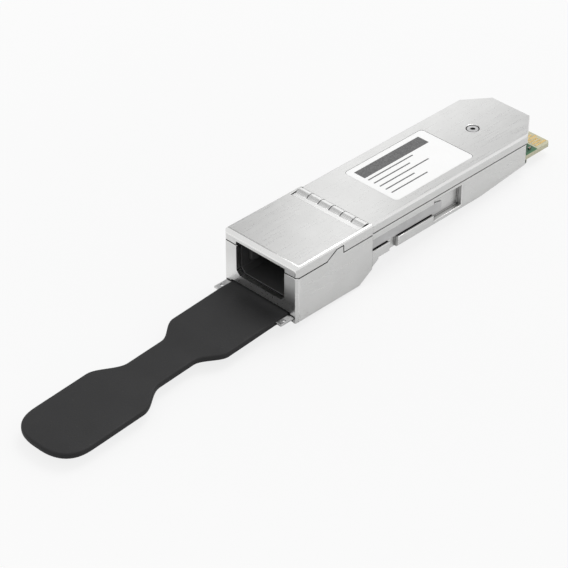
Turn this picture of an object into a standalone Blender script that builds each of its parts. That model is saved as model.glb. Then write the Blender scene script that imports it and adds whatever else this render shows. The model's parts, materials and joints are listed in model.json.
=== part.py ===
"""Pluggable optical transceiver module, modelled as an assembly of separate solids.

The script works in metres with +Z up and +Y running from the fibre port towards the board edge.
The origin is the middle of the flat underside that seats in a cage. Every shape is drawn in a
local frame whose Y starts at the front face of the nose, and two empties place that frame: one
carries the fixed pieces, the other the release slide.
"""

import math

import bmesh
import bpy
from mathutils import Vector

MM = 0.001
CLEAR = 0.05 * MM

# Outer shell
MODULE_LENGTH = 72.4 * MM
ORIGIN_BEHIND_FRONT = 46.0 * MM
BODY_HALF_WIDTH = 9.175 * MM
BODY_TOP = 8.5 * MM
SEAM_Z = 6.5 * MM
SEAM_GAP = 0.15 * MM
FLOOR_TOP = 1.0 * MM
WALL_END_Y = 63.8 * MM
SHELL_END_Y = 69.7 * MM
BODY_EDGE = 0.5 * MM
LID_EDGE = 0.35 * MM
REAR_CORNER = (4.3 * MM, 5.6 * MM)
LEAD_IN_Y = 50.0 * MM
LEAD_IN_EDGE = 2.4 * MM

# Nose
NOSE_LENGTH = 20.0 * MM
NOSE_HALF_WIDTH = 9.45 * MM
NOSE_TOP = 8.8 * MM
NOSE_BOTTOM = -3.6 * MM
NOSE_EDGE = 0.4 * MM
NOSE_FRONT_EDGE = 0.8 * MM
NOSE_CORNER = (0.5 * MM, -0.5 * MM)
RAMP_START_Y = 16.0 * MM
RAMP_END_Y = 21.9 * MM
FRAME_DEPTH = 1.2 * MM
SNAP_START_Y = 7.9 * MM
SNAP_CREST_Y = 10.4 * MM
SNAP_END_Y = 12.1 * MM
SNAP_TOP = 7.9 * MM
SNAP_ROOT = 6.0 * MM
SNAP_THICKNESS = 0.5 * MM

# Port
PORT_HALF_WIDTH = 6.2 * MM
PORT_BOTTOM = 0.0
PORT_TOP = 7.2 * MM
PORT_CORNER = 0.9 * MM
BAY_HALF_WIDTH = 7.7 * MM
BAY_BOTTOM = -0.75 * MM
BAY_END_Y = 15.0 * MM
BAY_LID_Z = 7.75 * MM
PORT_AXIS_Z = 3.6 * MM
BORE_DEPTH_Y = 11.0 * MM
LINING = 0.12 * MM

# Board space inside the body
RIBBON_GAP_HALF_WIDTH = 4.2 * MM
RIBBON_GAP_BOTTOM = 2.0 * MM
FLANGE_POCKET_Y = 12.5 * MM
FLANGE_POCKET_HALF_WIDTH = 5.0 * MM
FLANGE_POCKET_HALF_HEIGHT = 2.6 * MM
BOARD_BAY_Y = 17.2 * MM
BOARD_BAY_HALF_WIDTH = 7.5 * MM
REAR_BAY_Y = 47.9 * MM
REAR_BAY_HALF_WIDTH = 8.0 * MM
LEDGE_HALF_WIDTH = 6.6 * MM
LEDGE_Z = 1.75 * MM
LID_UNDERSIDE = 7.0 * MM
BOARD_BOTTOM = 1.8 * MM
BOARD_TOP = 2.8 * MM

# Cover screw
SCREW_Y = 58.3 * MM
SCREW_HEAD_RADIUS = 1.2 * MM
SCREW_HEAD_Z = 7.6 * MM
SCREW_SHANK_RADIUS = 0.5 * MM
SCREW_SHANK_BOTTOM = 3.8 * MM
SCREW_SOCKET_RADIUS = 0.5 * MM
SCREW_SOCKET_DEPTH = 0.45 * MM
SCREW_SUNK = 0.1 * MM
SCREW_PLAY = 0.15 * MM
POST_RADIUS = 1.5 * MM
THREAD_BOTTOM = 3.5 * MM

# Release slide
RELEASE_TRAVEL = 3.5 * MM
YOKE_BOTTOM = -2.65 * MM
YOKE_TOP = -2.25 * MM
YOKE_HALF_WIDTH = 8.7 * MM
YOKE_SHEET = 0.4 * MM
YOKE_FRONT_Y = -3.4 * MM
YOKE_REAR_Y = 13.0 * MM
RISER_Y = 9.0 * MM
ARM_BOTTOM = 2.6 * MM
ARM_TOP = 4.8 * MM
ARM_END_Y = 39.4 * MM
ARM_FLARE_Y = 37.4 * MM
ARM_FLARE = 0.35 * MM
SLOT_INNER = 8.2 * MM
SLOT_OUTER = 8.8 * MM
CAVITY_TOP = -1.75 * MM
CAVITY_BOTTOM = -3.25 * MM
CAVITY_HALF_WIDTH = 8.85 * MM
CAVITY_START_Y = 1.0 * MM
CAVITY_END_Y = 13.3 * MM
PLATE_HALF_WIDTH = 8.3 * MM
PLATE_END_Y = 15.5 * MM
PLATE_SCREW_X = 5.0 * MM
PLATE_SCREW_Y = 14.4 * MM
PLATE_SCREW_RADIUS = 0.4 * MM
PLATE_SCREW_HEAD = 0.85 * MM
PLATE_SCREW_HEAD_DEPTH = 0.2 * MM
PLATE_SCREW_TOP = -1.4 * MM
PLATE_SOCKET_RADIUS = 0.32 * MM
PLATE_SOCKET_DEPTH = 0.3 * MM
EAR_HOLE_X = 8.0 * MM
EAR_HOLE_SETBACK = 1.4 * MM
EAR_HOLE_RADIUS = 0.4 * MM
SPRING_X = 6.5 * MM
SPRING_Z = -2.5 * MM
SPRING_START_Y = 3.95 * MM
SPRING_END_Y = 10.95 * MM
SPRING_TURNS = 8
POINTS_PER_TURN = 10
SPRING_COIL_RADIUS = 0.45 * MM
SPRING_WIRE_RADIUS = 0.1 * MM
WINDOW_HALF_WIDTH = 0.7 * MM
WINDOW_START_Y = 3.2 * MM
PEG_START_Y = 3.3 * MM
PEG_HALF_WIDTH = 0.55 * MM
PEG_ROOT = 0.2 * MM
SLOT_PLAY = 0.2 * MM

# Latch pocket and notch in each side
POCKET_START_Y = 37.2 * MM
POCKET_Y = (POCKET_START_Y, 45.0 * MM)
POCKET_BOTTOM = 1.2 * MM
POCKET_TOP = 5.7 * MM
POCKET_FLOOR_X = 8.05 * MM
NOTCH_Y = (25.0 * MM, 27.3 * MM)
NOTCH_TOP = 4.4 * MM

# Pull tab, as half widths at distances in front of the nose
TAB_TOP = -1.95 * MM
TAB_THICKNESS = 1.25 * MM
TAB_REAR_Y = 2.5 * MM
TAB_DROOP_START_Y = -3.6 * MM
TAB_DROOP_SLOPE = 0.067
TAB_ROOT_HALF = 7.4 * MM
TAB_WAIST_HALF = 4.3 * MM
TAB_PADDLE_HALF = 7.65 * MM
TAB_TAPER_IN = (-15.2 * MM, -21.0 * MM)
TAB_TAPER_OUT = (-29.2 * MM, -36.2 * MM)
TAB_END_ROUND_Y = -47.8 * MM
TAB_TIP_Y = -54.5 * MM
TAB_EDGE = 0.3 * MM
TAB_END_POWER = 2.6
TAB_STEPS = 8

# Label and shielding collar on the top
LABEL_HALF_WIDTH = 6.8 * MM
LABEL_Y = (29.2 * MM, 51.0 * MM)
LABEL_RECESS = 0.15 * MM
LABEL_THICKNESS = 0.1 * MM
LABEL_CORNER = 0.8 * MM
CORNER_STEPS = 3
COLLAR_HALF_WIDTH = 8.5 * MM
COLLAR_START_Y = 16.7 * MM
COLLAR_BEND_Y = 17.9 * MM
COLLAR_END_Y = 19.95 * MM
COLLAR_BOTTOM = 8.45 * MM
COLLAR_SHEET = 0.12 * MM
COLLAR_RISE = 0.45 * MM
COLLAR_FINGERS = 6
COLLAR_STEPS = 6
COLLAR_GAP = 0.18 * MM

# Fibre end block, pins and ribbon
FERRULE_FRONT_Y = 8.0 * MM
FERRULE_REAR_Y = 14.2 * MM
FERRULE_HALF_WIDTH = 3.2 * MM
FERRULE_HALF_HEIGHT = 1.25 * MM
FLANGE_START_Y = 12.6 * MM
FLANGE_HALF_WIDTH = 3.6 * MM
FLANGE_HALF_HEIGHT = 1.6 * MM
FERRULE_WINDOW_HALF_WIDTH = 3.65 * MM
FERRULE_WINDOW_HALF_HEIGHT = 1.7 * MM
PIN_X = 2.3 * MM
PIN_RADIUS = 0.35 * MM
PIN_PLAY = 0.07 * MM
PIN_FRONT_Y = 6.2 * MM
CLAMP_HALF_WIDTH = 3.4 * MM
CLAMP_HALF_HEIGHT = 1.4 * MM
CLAMP_REAR_Y = 14.85 * MM
RIBBON_HALF_WIDTH = 1.55 * MM
RIBBON_THICKNESS = 0.36 * MM
RIBBON_SLOT_HALF_WIDTH = 1.7 * MM
RIBBON_SLOT_HALF_HEIGHT = 0.3 * MM
RIBBON_SLOT_START_Y = 10.2 * MM
RIBBON_START_Y = 10.4 * MM
RIBBON_END_Y = 28.3 * MM
RIBBON_LIFT = (15.4 * MM, 25.6 * MM)
RIBBON_LENS_Z = 4.1 * MM
RIBBON_STEPS = 12

# Hooked latch in the port
LATCH_FRAME_Y = (9.9 * MM, 10.9 * MM)
LATCH_HALF_WIDTH = 5.9 * MM
LATCH_HALF_HEIGHT = 2.5 * MM
HOOK_HALF_HEIGHT = 1.4 * MM
HOOK_OUTER = 5.85 * MM
HOOK_INNER = 5.15 * MM
HOOK_CATCH = 4.7 * MM
HOOK_FRONT_Y = 3.0 * MM
HOOK_CATCH_Y = 4.3 * MM

# Board edge, lens block, pads and gaskets
BOARD_EDGE_HALF_WIDTH = 8.2 * MM
BOARD_EDGE_CORNER = 0.5 * MM
BOARD_GAP = 0.2 * MM
LENS_START_Y = 26.0 * MM
LENS_END_Y = 31.5 * MM
LENS_HALF_WIDTH = 3.4 * MM
LENS_TOP = 5.2 * MM
LENS_CAVITY_HALF_WIDTH = 2.6 * MM
LENS_CAVITY_Y = (27.2 * MM, 30.8 * MM)
LENS_CAVITY_TOP = 3.5 * MM
PEDESTAL_HALF_WIDTH = 6.0 * MM
PEDESTAL_Y = (34.0 * MM, 39.0 * MM)
PEDESTAL_BOTTOM = 5.1 * MM
PAD_BOTTOM = 3.85 * MM
PAD_INSET = 0.1 * MM
ABSORBER_HALF_WIDTH = 6.5 * MM
ABSORBER_Y = (44.0 * MM, 56.0 * MM)
ABSORBER_BOTTOM = 6.0 * MM
GASKET_INNER = 8.4 * MM
GASKET_OUTER = 8.85 * MM
GASKET_BOTTOM = 6.0 * MM
GASKET_Y = (24.0 * MM, 62.0 * MM)

ROUND_SIDES = 24
SMALL_SIDES = 12
HEX_SIDES = 6
RIM_ANGLE = math.radians(35)
BEYOND = 2.0 * MM
SIDES = {"left": -1, "right": 1}

# Parts on the board: name, material, X span, Y span behind the front face and height, in millimetres
BOARD_PARTS = [
    ("laser_array", "gold", (-2.2, -0.4), (28.6, 29.4), 0.3),
    ("photodiode_array", "gold", (0.4, 2.2), (28.6, 29.4), 0.3),
    ("laser_driver", "chip", (-5.8, -0.8), (34.2, 38.8), 0.95),
    ("receiver_amplifier", "chip", (0.8, 5.8), (34.2, 38.8), 0.95),
    ("controller", "chip", (-2.5, 2.5), (48.5, 53.5), 0.85),
    ("clock_crystal", "steel", (3.6, 6.1), (48.9, 50.9), 0.7),
    ("power_inductor_left", "chip", (-6.6, -3.6), (48.6, 51.6), 1.4),
    ("power_inductor_right", "chip", (3.6, 6.6), (52.2, 55.2), 1.4),
]


# Scene and object helpers

def clear_scene():
    for old in list(bpy.data.objects):
        bpy.data.objects.remove(old, do_unlink=True)


def make_material(name, colour, roughness, metallic):
    material = bpy.data.materials.new(name)
    material.use_nodes = True
    shader = material.node_tree.nodes["Principled BSDF"]
    shader.inputs["Base Color"].default_value = (*colour, 1.0)
    shader.inputs["Roughness"].default_value = roughness
    shader.inputs["Metallic"].default_value = metallic
    return material


def make_empty(name, location):
    empty = bpy.data.objects.new(name, None)
    empty.location = location
    bpy.context.collection.objects.link(empty)
    return empty


def object_from_mesh(name, mesh_builder):
    """Close a bmesh into a new object with its faces pointing out."""
    bmesh.ops.recalc_face_normals(mesh_builder, faces=mesh_builder.faces)
    mesh = bpy.data.meshes.new(name)
    mesh_builder.to_mesh(mesh)
    mesh_builder.free()
    solid = bpy.data.objects.new(name, mesh)
    bpy.context.collection.objects.link(solid)
    return solid


def place(solid, parent, material):
    solid.parent = parent
    solid.data.materials.append(material)
    return solid


def shade_round(solid):
    """Smooth shading for a round piece, with its rims kept sharp."""
    solid.data.shade_smooth()
    solid.data.set_sharp_from_angle(angle=RIM_ANGLE)


# Shape helpers

def loft(name, rings):
    """Skin a closed body over rings of equal length, with flat ends."""
    builder = bmesh.new()
    loops = [[builder.verts.new(point) for point in ring] for ring in rings]
    count = len(rings[0])
    for first, second in zip(loops, loops[1:]):
        for i in range(count):
            j = (i + 1) % count
            builder.faces.new((first[i], first[j], second[j], second[i]))
    builder.faces.new(loops[0])
    builder.faces.new(loops[-1])
    return object_from_mesh(name, builder)


def prism(name, outline, axis, low, high):
    """Extrude a flat outline along X, Y or Z; its points give the other two axes in order."""
    index = "XYZ".index(axis)

    def lift(point, level):
        values = list(point)
        values.insert(index, level)
        return Vector(values)

    return loft(name, [[lift(point, level) for point in outline] for level in (low, high)])


def block(name, x_span, y_span, z_span):
    left, right = x_span
    front, rear = y_span
    outline = [(left, front), (right, front), (right, rear), (left, rear)]
    return prism(name, outline, "Z", *z_span)


def circle(centre, radius, sides=ROUND_SIDES):
    turn = 2 * math.pi / sides
    return [
        (centre[0] + radius * math.cos(i * turn), centre[1] + radius * math.sin(i * turn))
        for i in range(sides)
    ]


def both_ways(half):
    """A span centred on the middle plane."""
    return (-half, half)


def span_on_side(side, inner, outer):
    """The X span between two distances from the middle plane, on one side."""
    return tuple(sorted((side * inner, side * outer)))


def combine(target, operation, tools):
    """Hang Boolean modifiers on a solid and keep their tools as hidden guides."""
    for tool in tools:
        tool.parent = target.parent
        tool.hide_render = True
        tool.display_type = "WIRE"
        modifier = target.modifiers.new(tool.name, "BOOLEAN")
        modifier.operation = operation
        modifier.solver = "EXACT"
        modifier.object = tool


def cut(target, *tools):
    combine(target, "DIFFERENCE", tools)


def join(target, *tools):
    combine(target, "UNION", tools)


def shell_outline(half_width, low, high, low_edge=0.0, high_edge=0.0):
    """Cross-section of a shell half, with its long edges cut at 45 degrees where an edge is given."""
    right = [(half_width - low_edge, low)]
    if low_edge:
        right.append((half_width, low + low_edge))
    if high_edge:
        right.append((half_width, high - high_edge))
    right.append((half_width - high_edge, high))
    left = [(-x, z) for x, z in reversed(right)]
    return right + left


def corner_tool(name, x, y, corner, z_span):
    """A wedge that cuts an upright corner by a width and a depth; the depth is negative at the front."""
    width, depth = corner
    side = math.copysign(1, x)
    way = math.copysign(1, depth)
    slope = abs(depth) / width
    outline = [
        (x - side * (width + BEYOND / slope), y + way * BEYOND),
        (x + side * BEYOND, y - depth - way * BEYOND * slope),
        (x + side * BEYOND, y + way * BEYOND),
    ]
    return prism(name, outline, "Z", *z_span)


def lead_in_tool(name, side):
    """A wedge that widens the cut of a lower long edge towards the rear."""
    outer = side * (BODY_HALF_WIDTH + BEYOND)
    rings = []
    for y, edge in ((LEAD_IN_Y, BODY_EDGE - CLEAR), (SHELL_END_Y, LEAD_IN_EDGE)):
        inner = side * (BODY_HALF_WIDTH - edge - BEYOND)
        rings.append([(inner, y, -BEYOND), (outer, y, edge + BEYOND), (outer, y, -BEYOND)])
    return loft(name, rings)


# Lower shell

def make_bottom_housing(parent, material):
    rim = SEAM_Z - SEAM_GAP
    body_section = shell_outline(BODY_HALF_WIDTH, 0.0, rim, BODY_EDGE)
    tail_section = shell_outline(BODY_HALF_WIDTH, 0.0, FLOOR_TOP, BODY_EDGE)
    nose_section = shell_outline(NOSE_HALF_WIDTH, NOSE_BOTTOM, rim, NOSE_EDGE)
    chin_section = shell_outline(BODY_HALF_WIDTH, NOSE_BOTTOM, FLOOR_TOP, NOSE_EDGE)
    housing = prism("bottom_housing", body_section, "Y", NOSE_LENGTH - BEYOND, WALL_END_Y)
    place(housing, parent, material)
    join(housing,
         prism("housing_tail", tail_section, "Y", WALL_END_Y - BEYOND, SHELL_END_Y),
         prism("housing_nose", nose_section, "Y", 0.0, NOSE_LENGTH),
         prism("housing_chin", chin_section, "Y", NOSE_LENGTH - BEYOND, RAMP_END_Y))
    cut(housing, *housing_outside_tools())
    cut(housing, *housing_inside_tools())
    cut(housing, *release_space_tools())
    for name, side in SIDES.items():
        peg_x = span_on_side(side, SPRING_X - PEG_HALF_WIDTH, SPRING_X + PEG_HALF_WIDTH)
        peg_z = (CAVITY_BOTTOM + CLEAR, CAVITY_TOP + PEG_ROOT)
        lug_x = span_on_side(side, NOSE_HALF_WIDTH - SNAP_THICKNESS, NOSE_HALF_WIDTH)
        join(housing,
             block(f"spring_peg_{name}", peg_x, (PEG_START_Y, SPRING_START_Y - CLEAR), peg_z),
             prism(f"snap_lug_{name}", snap_outline(), "X", *lug_x))
    screw_centre = (0.0, SCREW_Y)
    post = circle(screw_centre, POST_RADIUS)
    thread = circle(screw_centre, SCREW_SHANK_RADIUS + CLEAR)
    join(housing, prism("screw_post", post, "Z", FLOOR_TOP / 2, LID_UNDERSIDE - CLEAR))
    cut(housing, prism("screw_thread", thread, "Z", THREAD_BOTTOM, BODY_TOP))
    return housing


def housing_outside_tools():
    """Ramp under the nose, upright corners, rear lead-ins, latch pockets, arm grooves and edge notches."""
    ramp_outline = [
        (RAMP_START_Y, NOSE_BOTTOM),
        (RAMP_END_Y, 0.0),
        (RAMP_END_Y + BEYOND, 0.0),
        (RAMP_END_Y + BEYOND, NOSE_BOTTOM - BEYOND),
        (RAMP_START_Y, NOSE_BOTTOM - BEYOND),
    ]
    tools = [prism("ramp", ramp_outline, "X", *both_ways(NOSE_HALF_WIDTH + BEYOND))]
    outside = NOSE_HALF_WIDTH + BEYOND
    groove_z = (ARM_BOTTOM - SLOT_PLAY, ARM_TOP + SLOT_PLAY)
    corner_z = (NOSE_BOTTOM - BEYOND, SEAM_Z)
    for name, side in SIDES.items():
        groove_x = span_on_side(side, SLOT_INNER, outside)
        pocket_x = span_on_side(side, POCKET_FLOOR_X, outside)
        body_x = side * BODY_HALF_WIDTH
        nose_x = side * NOSE_HALF_WIDTH
        tools += [
            corner_tool(f"tail_corner_{name}", body_x, SHELL_END_Y, REAR_CORNER, corner_z),
            corner_tool(f"nose_corner_{name}", nose_x, 0.0, NOSE_CORNER, corner_z),
            lead_in_tool(f"lead_in_{name}", side),
            block(f"arm_groove_{name}", groove_x, (NOSE_LENGTH, POCKET_START_Y + BEYOND), groove_z),
            block(f"latch_pocket_{name}", pocket_x, POCKET_Y, (POCKET_BOTTOM, POCKET_TOP)),
            block(f"edge_notch_{name}", groove_x, NOTCH_Y, (-BEYOND, NOTCH_TOP)),
        ]
    return tools


def snap_outline(grow=0.0):
    """Side outline of a snap lug, widened by a clearance for the notch in the lid."""
    return [
        (SNAP_START_Y - grow, SNAP_ROOT),
        (SNAP_START_Y - grow, SEAM_Z),
        (SNAP_CREST_Y - grow, SNAP_TOP + grow),
        (SNAP_END_Y + grow, SNAP_TOP + grow),
        (SNAP_END_Y + grow, SNAP_ROOT),
    ]


def port_outline(half_width, low, high, corner):
    """Port opening with its two lower corners cut."""
    return [
        (-half_width + corner, low),
        (half_width - corner, low),
        (half_width, low + corner),
        (half_width, high),
        (-half_width, high),
        (-half_width, low + corner),
    ]


def housing_inside_tools():
    """Port window, receptacle bay, ribbon gap, stepped board bay and gasket grooves."""
    above = SEAM_Z + BEYOND
    behind = WALL_END_Y + BEYOND
    window = port_outline(PORT_HALF_WIDTH, PORT_BOTTOM, above, PORT_CORNER)
    gap_y = (BAY_END_Y - BEYOND, BOARD_BAY_Y + BEYOND)
    board_y = (BOARD_BAY_Y, REAR_BAY_Y + BEYOND)
    tools = [
        prism("port_window", window, "Y", -BEYOND, FRAME_DEPTH + CLEAR),
        block("receptacle_bay", both_ways(BAY_HALF_WIDTH), (FRAME_DEPTH, BAY_END_Y), (BAY_BOTTOM, above)),
        block("ribbon_gap", both_ways(RIBBON_GAP_HALF_WIDTH), gap_y, (RIBBON_GAP_BOTTOM, above)),
        block("board_bay", both_ways(BOARD_BAY_HALF_WIDTH), board_y, (LEDGE_Z, above)),
        block("rear_bay", both_ways(REAR_BAY_HALF_WIDTH), (REAR_BAY_Y, behind), (LEDGE_Z, above)),
        block("under_board", both_ways(LEDGE_HALF_WIDTH), (BOARD_BAY_Y, behind), (FLOOR_TOP, above)),
    ]
    groove_y = (GASKET_Y[0] - CLEAR, GASKET_Y[1] + CLEAR)
    for name, side in SIDES.items():
        groove_x = span_on_side(side, GASKET_INNER - CLEAR, GASKET_OUTER + CLEAR)
        tools.append(block(f"gasket_groove_{name}", groove_x, groove_y, (GASKET_BOTTOM - CLEAR, above)))
    return tools


def release_space_tools():
    """Space under the port where the yoke slides, its side slots and the nose plate's recess."""
    mouth_y = (-BEYOND, CAVITY_START_Y + CLEAR)
    ear_z = (YOKE_BOTTOM - SLOT_PLAY / 2, YOKE_TOP + SLOT_PLAY / 2)
    cavity_z = (CAVITY_BOTTOM, CAVITY_TOP)
    recess_y = (-BEYOND, PLATE_END_Y + CLEAR)
    recess_z = (NOSE_BOTTOM - BEYOND, CAVITY_BOTTOM + CLEAR)
    tools = [
        block("release_cavity", both_ways(CAVITY_HALF_WIDTH), (CAVITY_START_Y, CAVITY_END_Y), cavity_z),
        block("tab_mouth", both_ways(TAB_ROOT_HALF + SLOT_PLAY), mouth_y, cavity_z),
        block("ear_mouth", both_ways(CAVITY_HALF_WIDTH), mouth_y, ear_z),
        block("plate_recess", both_ways(PLATE_HALF_WIDTH + CLEAR), recess_y, recess_z),
    ]
    slot_y = (RISER_Y - RELEASE_TRAVEL - SLOT_PLAY, NOSE_LENGTH + BEYOND)
    slot_z = (CAVITY_BOTTOM, ARM_TOP + SLOT_PLAY)
    for name, side in SIDES.items():
        hole = circle((side * PLATE_SCREW_X, PLATE_SCREW_Y), PLATE_SCREW_RADIUS + CLEAR, SMALL_SIDES)
        tools += [
            block(f"arm_slot_{name}", span_on_side(side, SLOT_INNER, SLOT_OUTER), slot_y, slot_z),
            prism(f"plate_thread_{name}", hole, "Z", NOSE_BOTTOM - BEYOND, PLATE_SCREW_TOP + CLEAR),
        ]
    return tools


# Lid

def make_top_cover(parent, material):
    lid_section = shell_outline(BODY_HALF_WIDTH, SEAM_Z, BODY_TOP, high_edge=LID_EDGE)
    brow_section = shell_outline(NOSE_HALF_WIDTH, SEAM_Z, NOSE_TOP, high_edge=LID_EDGE)
    cover = prism("top_cover", lid_section, "Y", NOSE_LENGTH - BEYOND, SHELL_END_Y)
    place(cover, parent, material)
    join(cover, prism("cover_brow", brow_section, "Y", 0.0, NOSE_LENGTH))
    cut(cover, *lid_inside_tools())
    cut(cover, *lid_outside_tools())
    pedestal_z = (PEDESTAL_BOTTOM, (LID_UNDERSIDE + BODY_TOP) / 2)
    join(cover, block("lid_pedestal", both_ways(PEDESTAL_HALF_WIDTH), PEDESTAL_Y, pedestal_z))
    return cover


def lid_inside_tools():
    below = SEAM_Z - BEYOND
    port = port_outline(PORT_HALF_WIDTH, below, PORT_TOP, CLEAR)
    bay_y = (FRAME_DEPTH, BAY_END_Y)
    front_y = (BAY_END_Y - CLEAR, REAR_BAY_Y + CLEAR)
    rear_y = (REAR_BAY_Y, SHELL_END_Y + BEYOND)
    return [
        prism("lid_port", port, "Y", -BEYOND, FRAME_DEPTH + CLEAR),
        block("lid_receptacle_bay", both_ways(BAY_HALF_WIDTH), bay_y, (below, BAY_LID_Z)),
        block("lid_front_bay", both_ways(BOARD_BAY_HALF_WIDTH), front_y, (below, LID_UNDERSIDE)),
        block("lid_rear_bay", both_ways(REAR_BAY_HALF_WIDTH), rear_y, (below, LID_UNDERSIDE)),
    ]


def lid_outside_tools():
    """Front edge, upright corners, snap notches, label and collar recesses and the screw's counterbore."""
    front_edge = [
        (-BEYOND, NOSE_TOP - NOSE_FRONT_EDGE - BEYOND),
        (NOSE_FRONT_EDGE + BEYOND, NOSE_TOP + BEYOND),
        (-BEYOND, NOSE_TOP + BEYOND),
    ]
    above = NOSE_TOP + BEYOND
    corner_z = (0.0, above)
    collar_y = (COLLAR_START_Y - 2 * CLEAR, NOSE_LENGTH + CLEAR)
    collar_z = (COLLAR_BOTTOM - CLEAR, above)
    screw_centre = (0.0, SCREW_Y)
    counterbore = circle(screw_centre, SCREW_HEAD_RADIUS + SCREW_PLAY)
    screw_hole = circle(screw_centre, SCREW_SHANK_RADIUS + SCREW_PLAY)
    tools = [
        prism("front_edge", front_edge, "X", *both_ways(NOSE_HALF_WIDTH + BEYOND)),
        block("collar_recess", both_ways(COLLAR_HALF_WIDTH + 2 * CLEAR), collar_y, collar_z),
        prism("label_recess", label_outline(CLEAR), "Z", BODY_TOP - LABEL_RECESS, above),
        prism("screw_counterbore", counterbore, "Z", SCREW_HEAD_Z - CLEAR, above),
        prism("screw_hole", screw_hole, "Z", SEAM_Z, above),
    ]
    for name, side in SIDES.items():
        notch_x = span_on_side(side, NOSE_HALF_WIDTH - SNAP_THICKNESS - CLEAR, NOSE_HALF_WIDTH + BEYOND)
        body_x = side * BODY_HALF_WIDTH
        nose_x = side * NOSE_HALF_WIDTH
        tools += [
            corner_tool(f"lid_corner_{name}", body_x, SHELL_END_Y, REAR_CORNER, corner_z),
            corner_tool(f"brow_corner_{name}", nose_x, 0.0, NOSE_CORNER, corner_z),
            prism(f"snap_notch_{name}", snap_outline(SEAM_GAP), "X", *notch_x),
        ]
    return tools


def label_outline(grow=0.0):
    """Rounded rectangle of the label, widened by a clearance for its recess."""
    half_width = LABEL_HALF_WIDTH + grow
    low = LABEL_Y[0] - grow
    high = LABEL_Y[1] + grow
    middle = (low + high) / 2
    corners = [(half_width, low), (half_width, high), (-half_width, high), (-half_width, low)]
    points = []
    for index, (x, y) in enumerate(corners):
        centre_x = x - math.copysign(LABEL_CORNER, x)
        centre_y = y - math.copysign(LABEL_CORNER, y - middle)
        for step in range(CORNER_STEPS + 1):
            angle = math.radians(90 * (index - 1 + step / CORNER_STEPS))
            point_x = centre_x + LABEL_CORNER * math.cos(angle)
            point_y = centre_y + LABEL_CORNER * math.sin(angle)
            points.append((point_x, point_y))
    return points


def make_label(parent, material):
    low = BODY_TOP - LABEL_RECESS + CLEAR / 2
    label = prism("label", label_outline(), "Z", low, low + LABEL_THICKNESS)
    return place(label, parent, material)


def make_emi_collar(parent, material):
    """A strip of arched spring fingers, cut from one sheet."""
    lower = [(COLLAR_START_Y, COLLAR_BOTTOM)]
    for step in range(COLLAR_STEPS + 1):
        share = step / COLLAR_STEPS
        y = COLLAR_BEND_Y + share * (COLLAR_END_Y - COLLAR_BEND_Y)
        lower.append((y, COLLAR_BOTTOM + COLLAR_RISE * math.sin(math.pi * share)))
    upper = [(y, z + COLLAR_SHEET) for y, z in reversed(lower)]
    collar = prism("emi_collar", lower + upper, "X", *both_ways(COLLAR_HALF_WIDTH))
    place(collar, parent, material)
    pitch = 2 * COLLAR_HALF_WIDTH / COLLAR_FINGERS
    gap_y = (COLLAR_BEND_Y, NOSE_LENGTH + BEYOND)
    gap_z = (BODY_TOP - BEYOND, NOSE_TOP + BEYOND)
    for index in range(1, COLLAR_FINGERS):
        middle = index * pitch - COLLAR_HALF_WIDTH
        gap_x = (middle - COLLAR_GAP / 2, middle + COLLAR_GAP / 2)
        cut(collar, block(f"finger_gap_{index}", gap_x, gap_y, gap_z))
    return collar


# Screws and nose plate

def make_screw(name, centre, head, shank, parent, material):
    """A round-headed screw along Z; head and shank are each a radius, a low end and a high end."""
    screw = prism(name, circle(centre, head[0]), "Z", head[1], head[2])
    stem = prism(f"{name}_shank", circle(centre, shank[0], SMALL_SIDES), "Z", shank[1], shank[2])
    for round_part in (screw, stem):
        shade_round(round_part)
    place(screw, parent, material)
    join(screw, stem)
    return screw


def make_screws(parent, material):
    centre = (0.0, SCREW_Y)
    head_top = BODY_TOP - SCREW_SUNK
    head = (SCREW_HEAD_RADIUS, SCREW_HEAD_Z, head_top)
    shank = (SCREW_SHANK_RADIUS, SCREW_SHANK_BOTTOM, SCREW_HEAD_Z + CLEAR)
    cover_screw = make_screw("cover_screw", centre, head, shank, parent, material)
    socket = circle(centre, SCREW_SOCKET_RADIUS, HEX_SIDES)
    cut(cover_screw, prism("screw_socket", socket, "Z", head_top - SCREW_SOCKET_DEPTH, BODY_TOP + BEYOND))
    head = (PLATE_SCREW_HEAD, NOSE_BOTTOM, NOSE_BOTTOM + PLATE_SCREW_HEAD_DEPTH)
    shank = (PLATE_SCREW_RADIUS, NOSE_BOTTOM + CLEAR, PLATE_SCREW_TOP)
    for name, side in SIDES.items():
        centre = (side * PLATE_SCREW_X, PLATE_SCREW_Y)
        plate_screw = make_screw(f"plate_screw_{name}", centre, head, shank, parent, material)
        socket = circle(centre, PLATE_SOCKET_RADIUS, HEX_SIDES)
        socket_z = (NOSE_BOTTOM - BEYOND, NOSE_BOTTOM + PLATE_SOCKET_DEPTH)
        cut(plate_screw, prism(f"plate_socket_{name}", socket, "Z", *socket_z))


def make_nose_plate(parent, material):
    plate_z = (NOSE_BOTTOM, CAVITY_BOTTOM - CLEAR)
    plate = block("nose_plate", both_ways(PLATE_HALF_WIDTH), (CLEAR, PLATE_END_Y), plate_z)
    place(plate, parent, material)
    below = NOSE_BOTTOM - BEYOND
    for name, side in SIDES.items():
        centre = (side * PLATE_SCREW_X, PLATE_SCREW_Y)
        sink = circle(centre, PLATE_SCREW_HEAD + 2 * CLEAR)
        hole = circle(centre, PLATE_SCREW_RADIUS + 2 * CLEAR, SMALL_SIDES)
        cut(plate,
            prism(f"plate_sink_{name}", sink, "Z", below, NOSE_BOTTOM + PLATE_SCREW_HEAD_DEPTH + CLEAR),
            prism(f"plate_hole_{name}", hole, "Z", below, CAVITY_TOP))
    return plate


# Release slide

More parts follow.
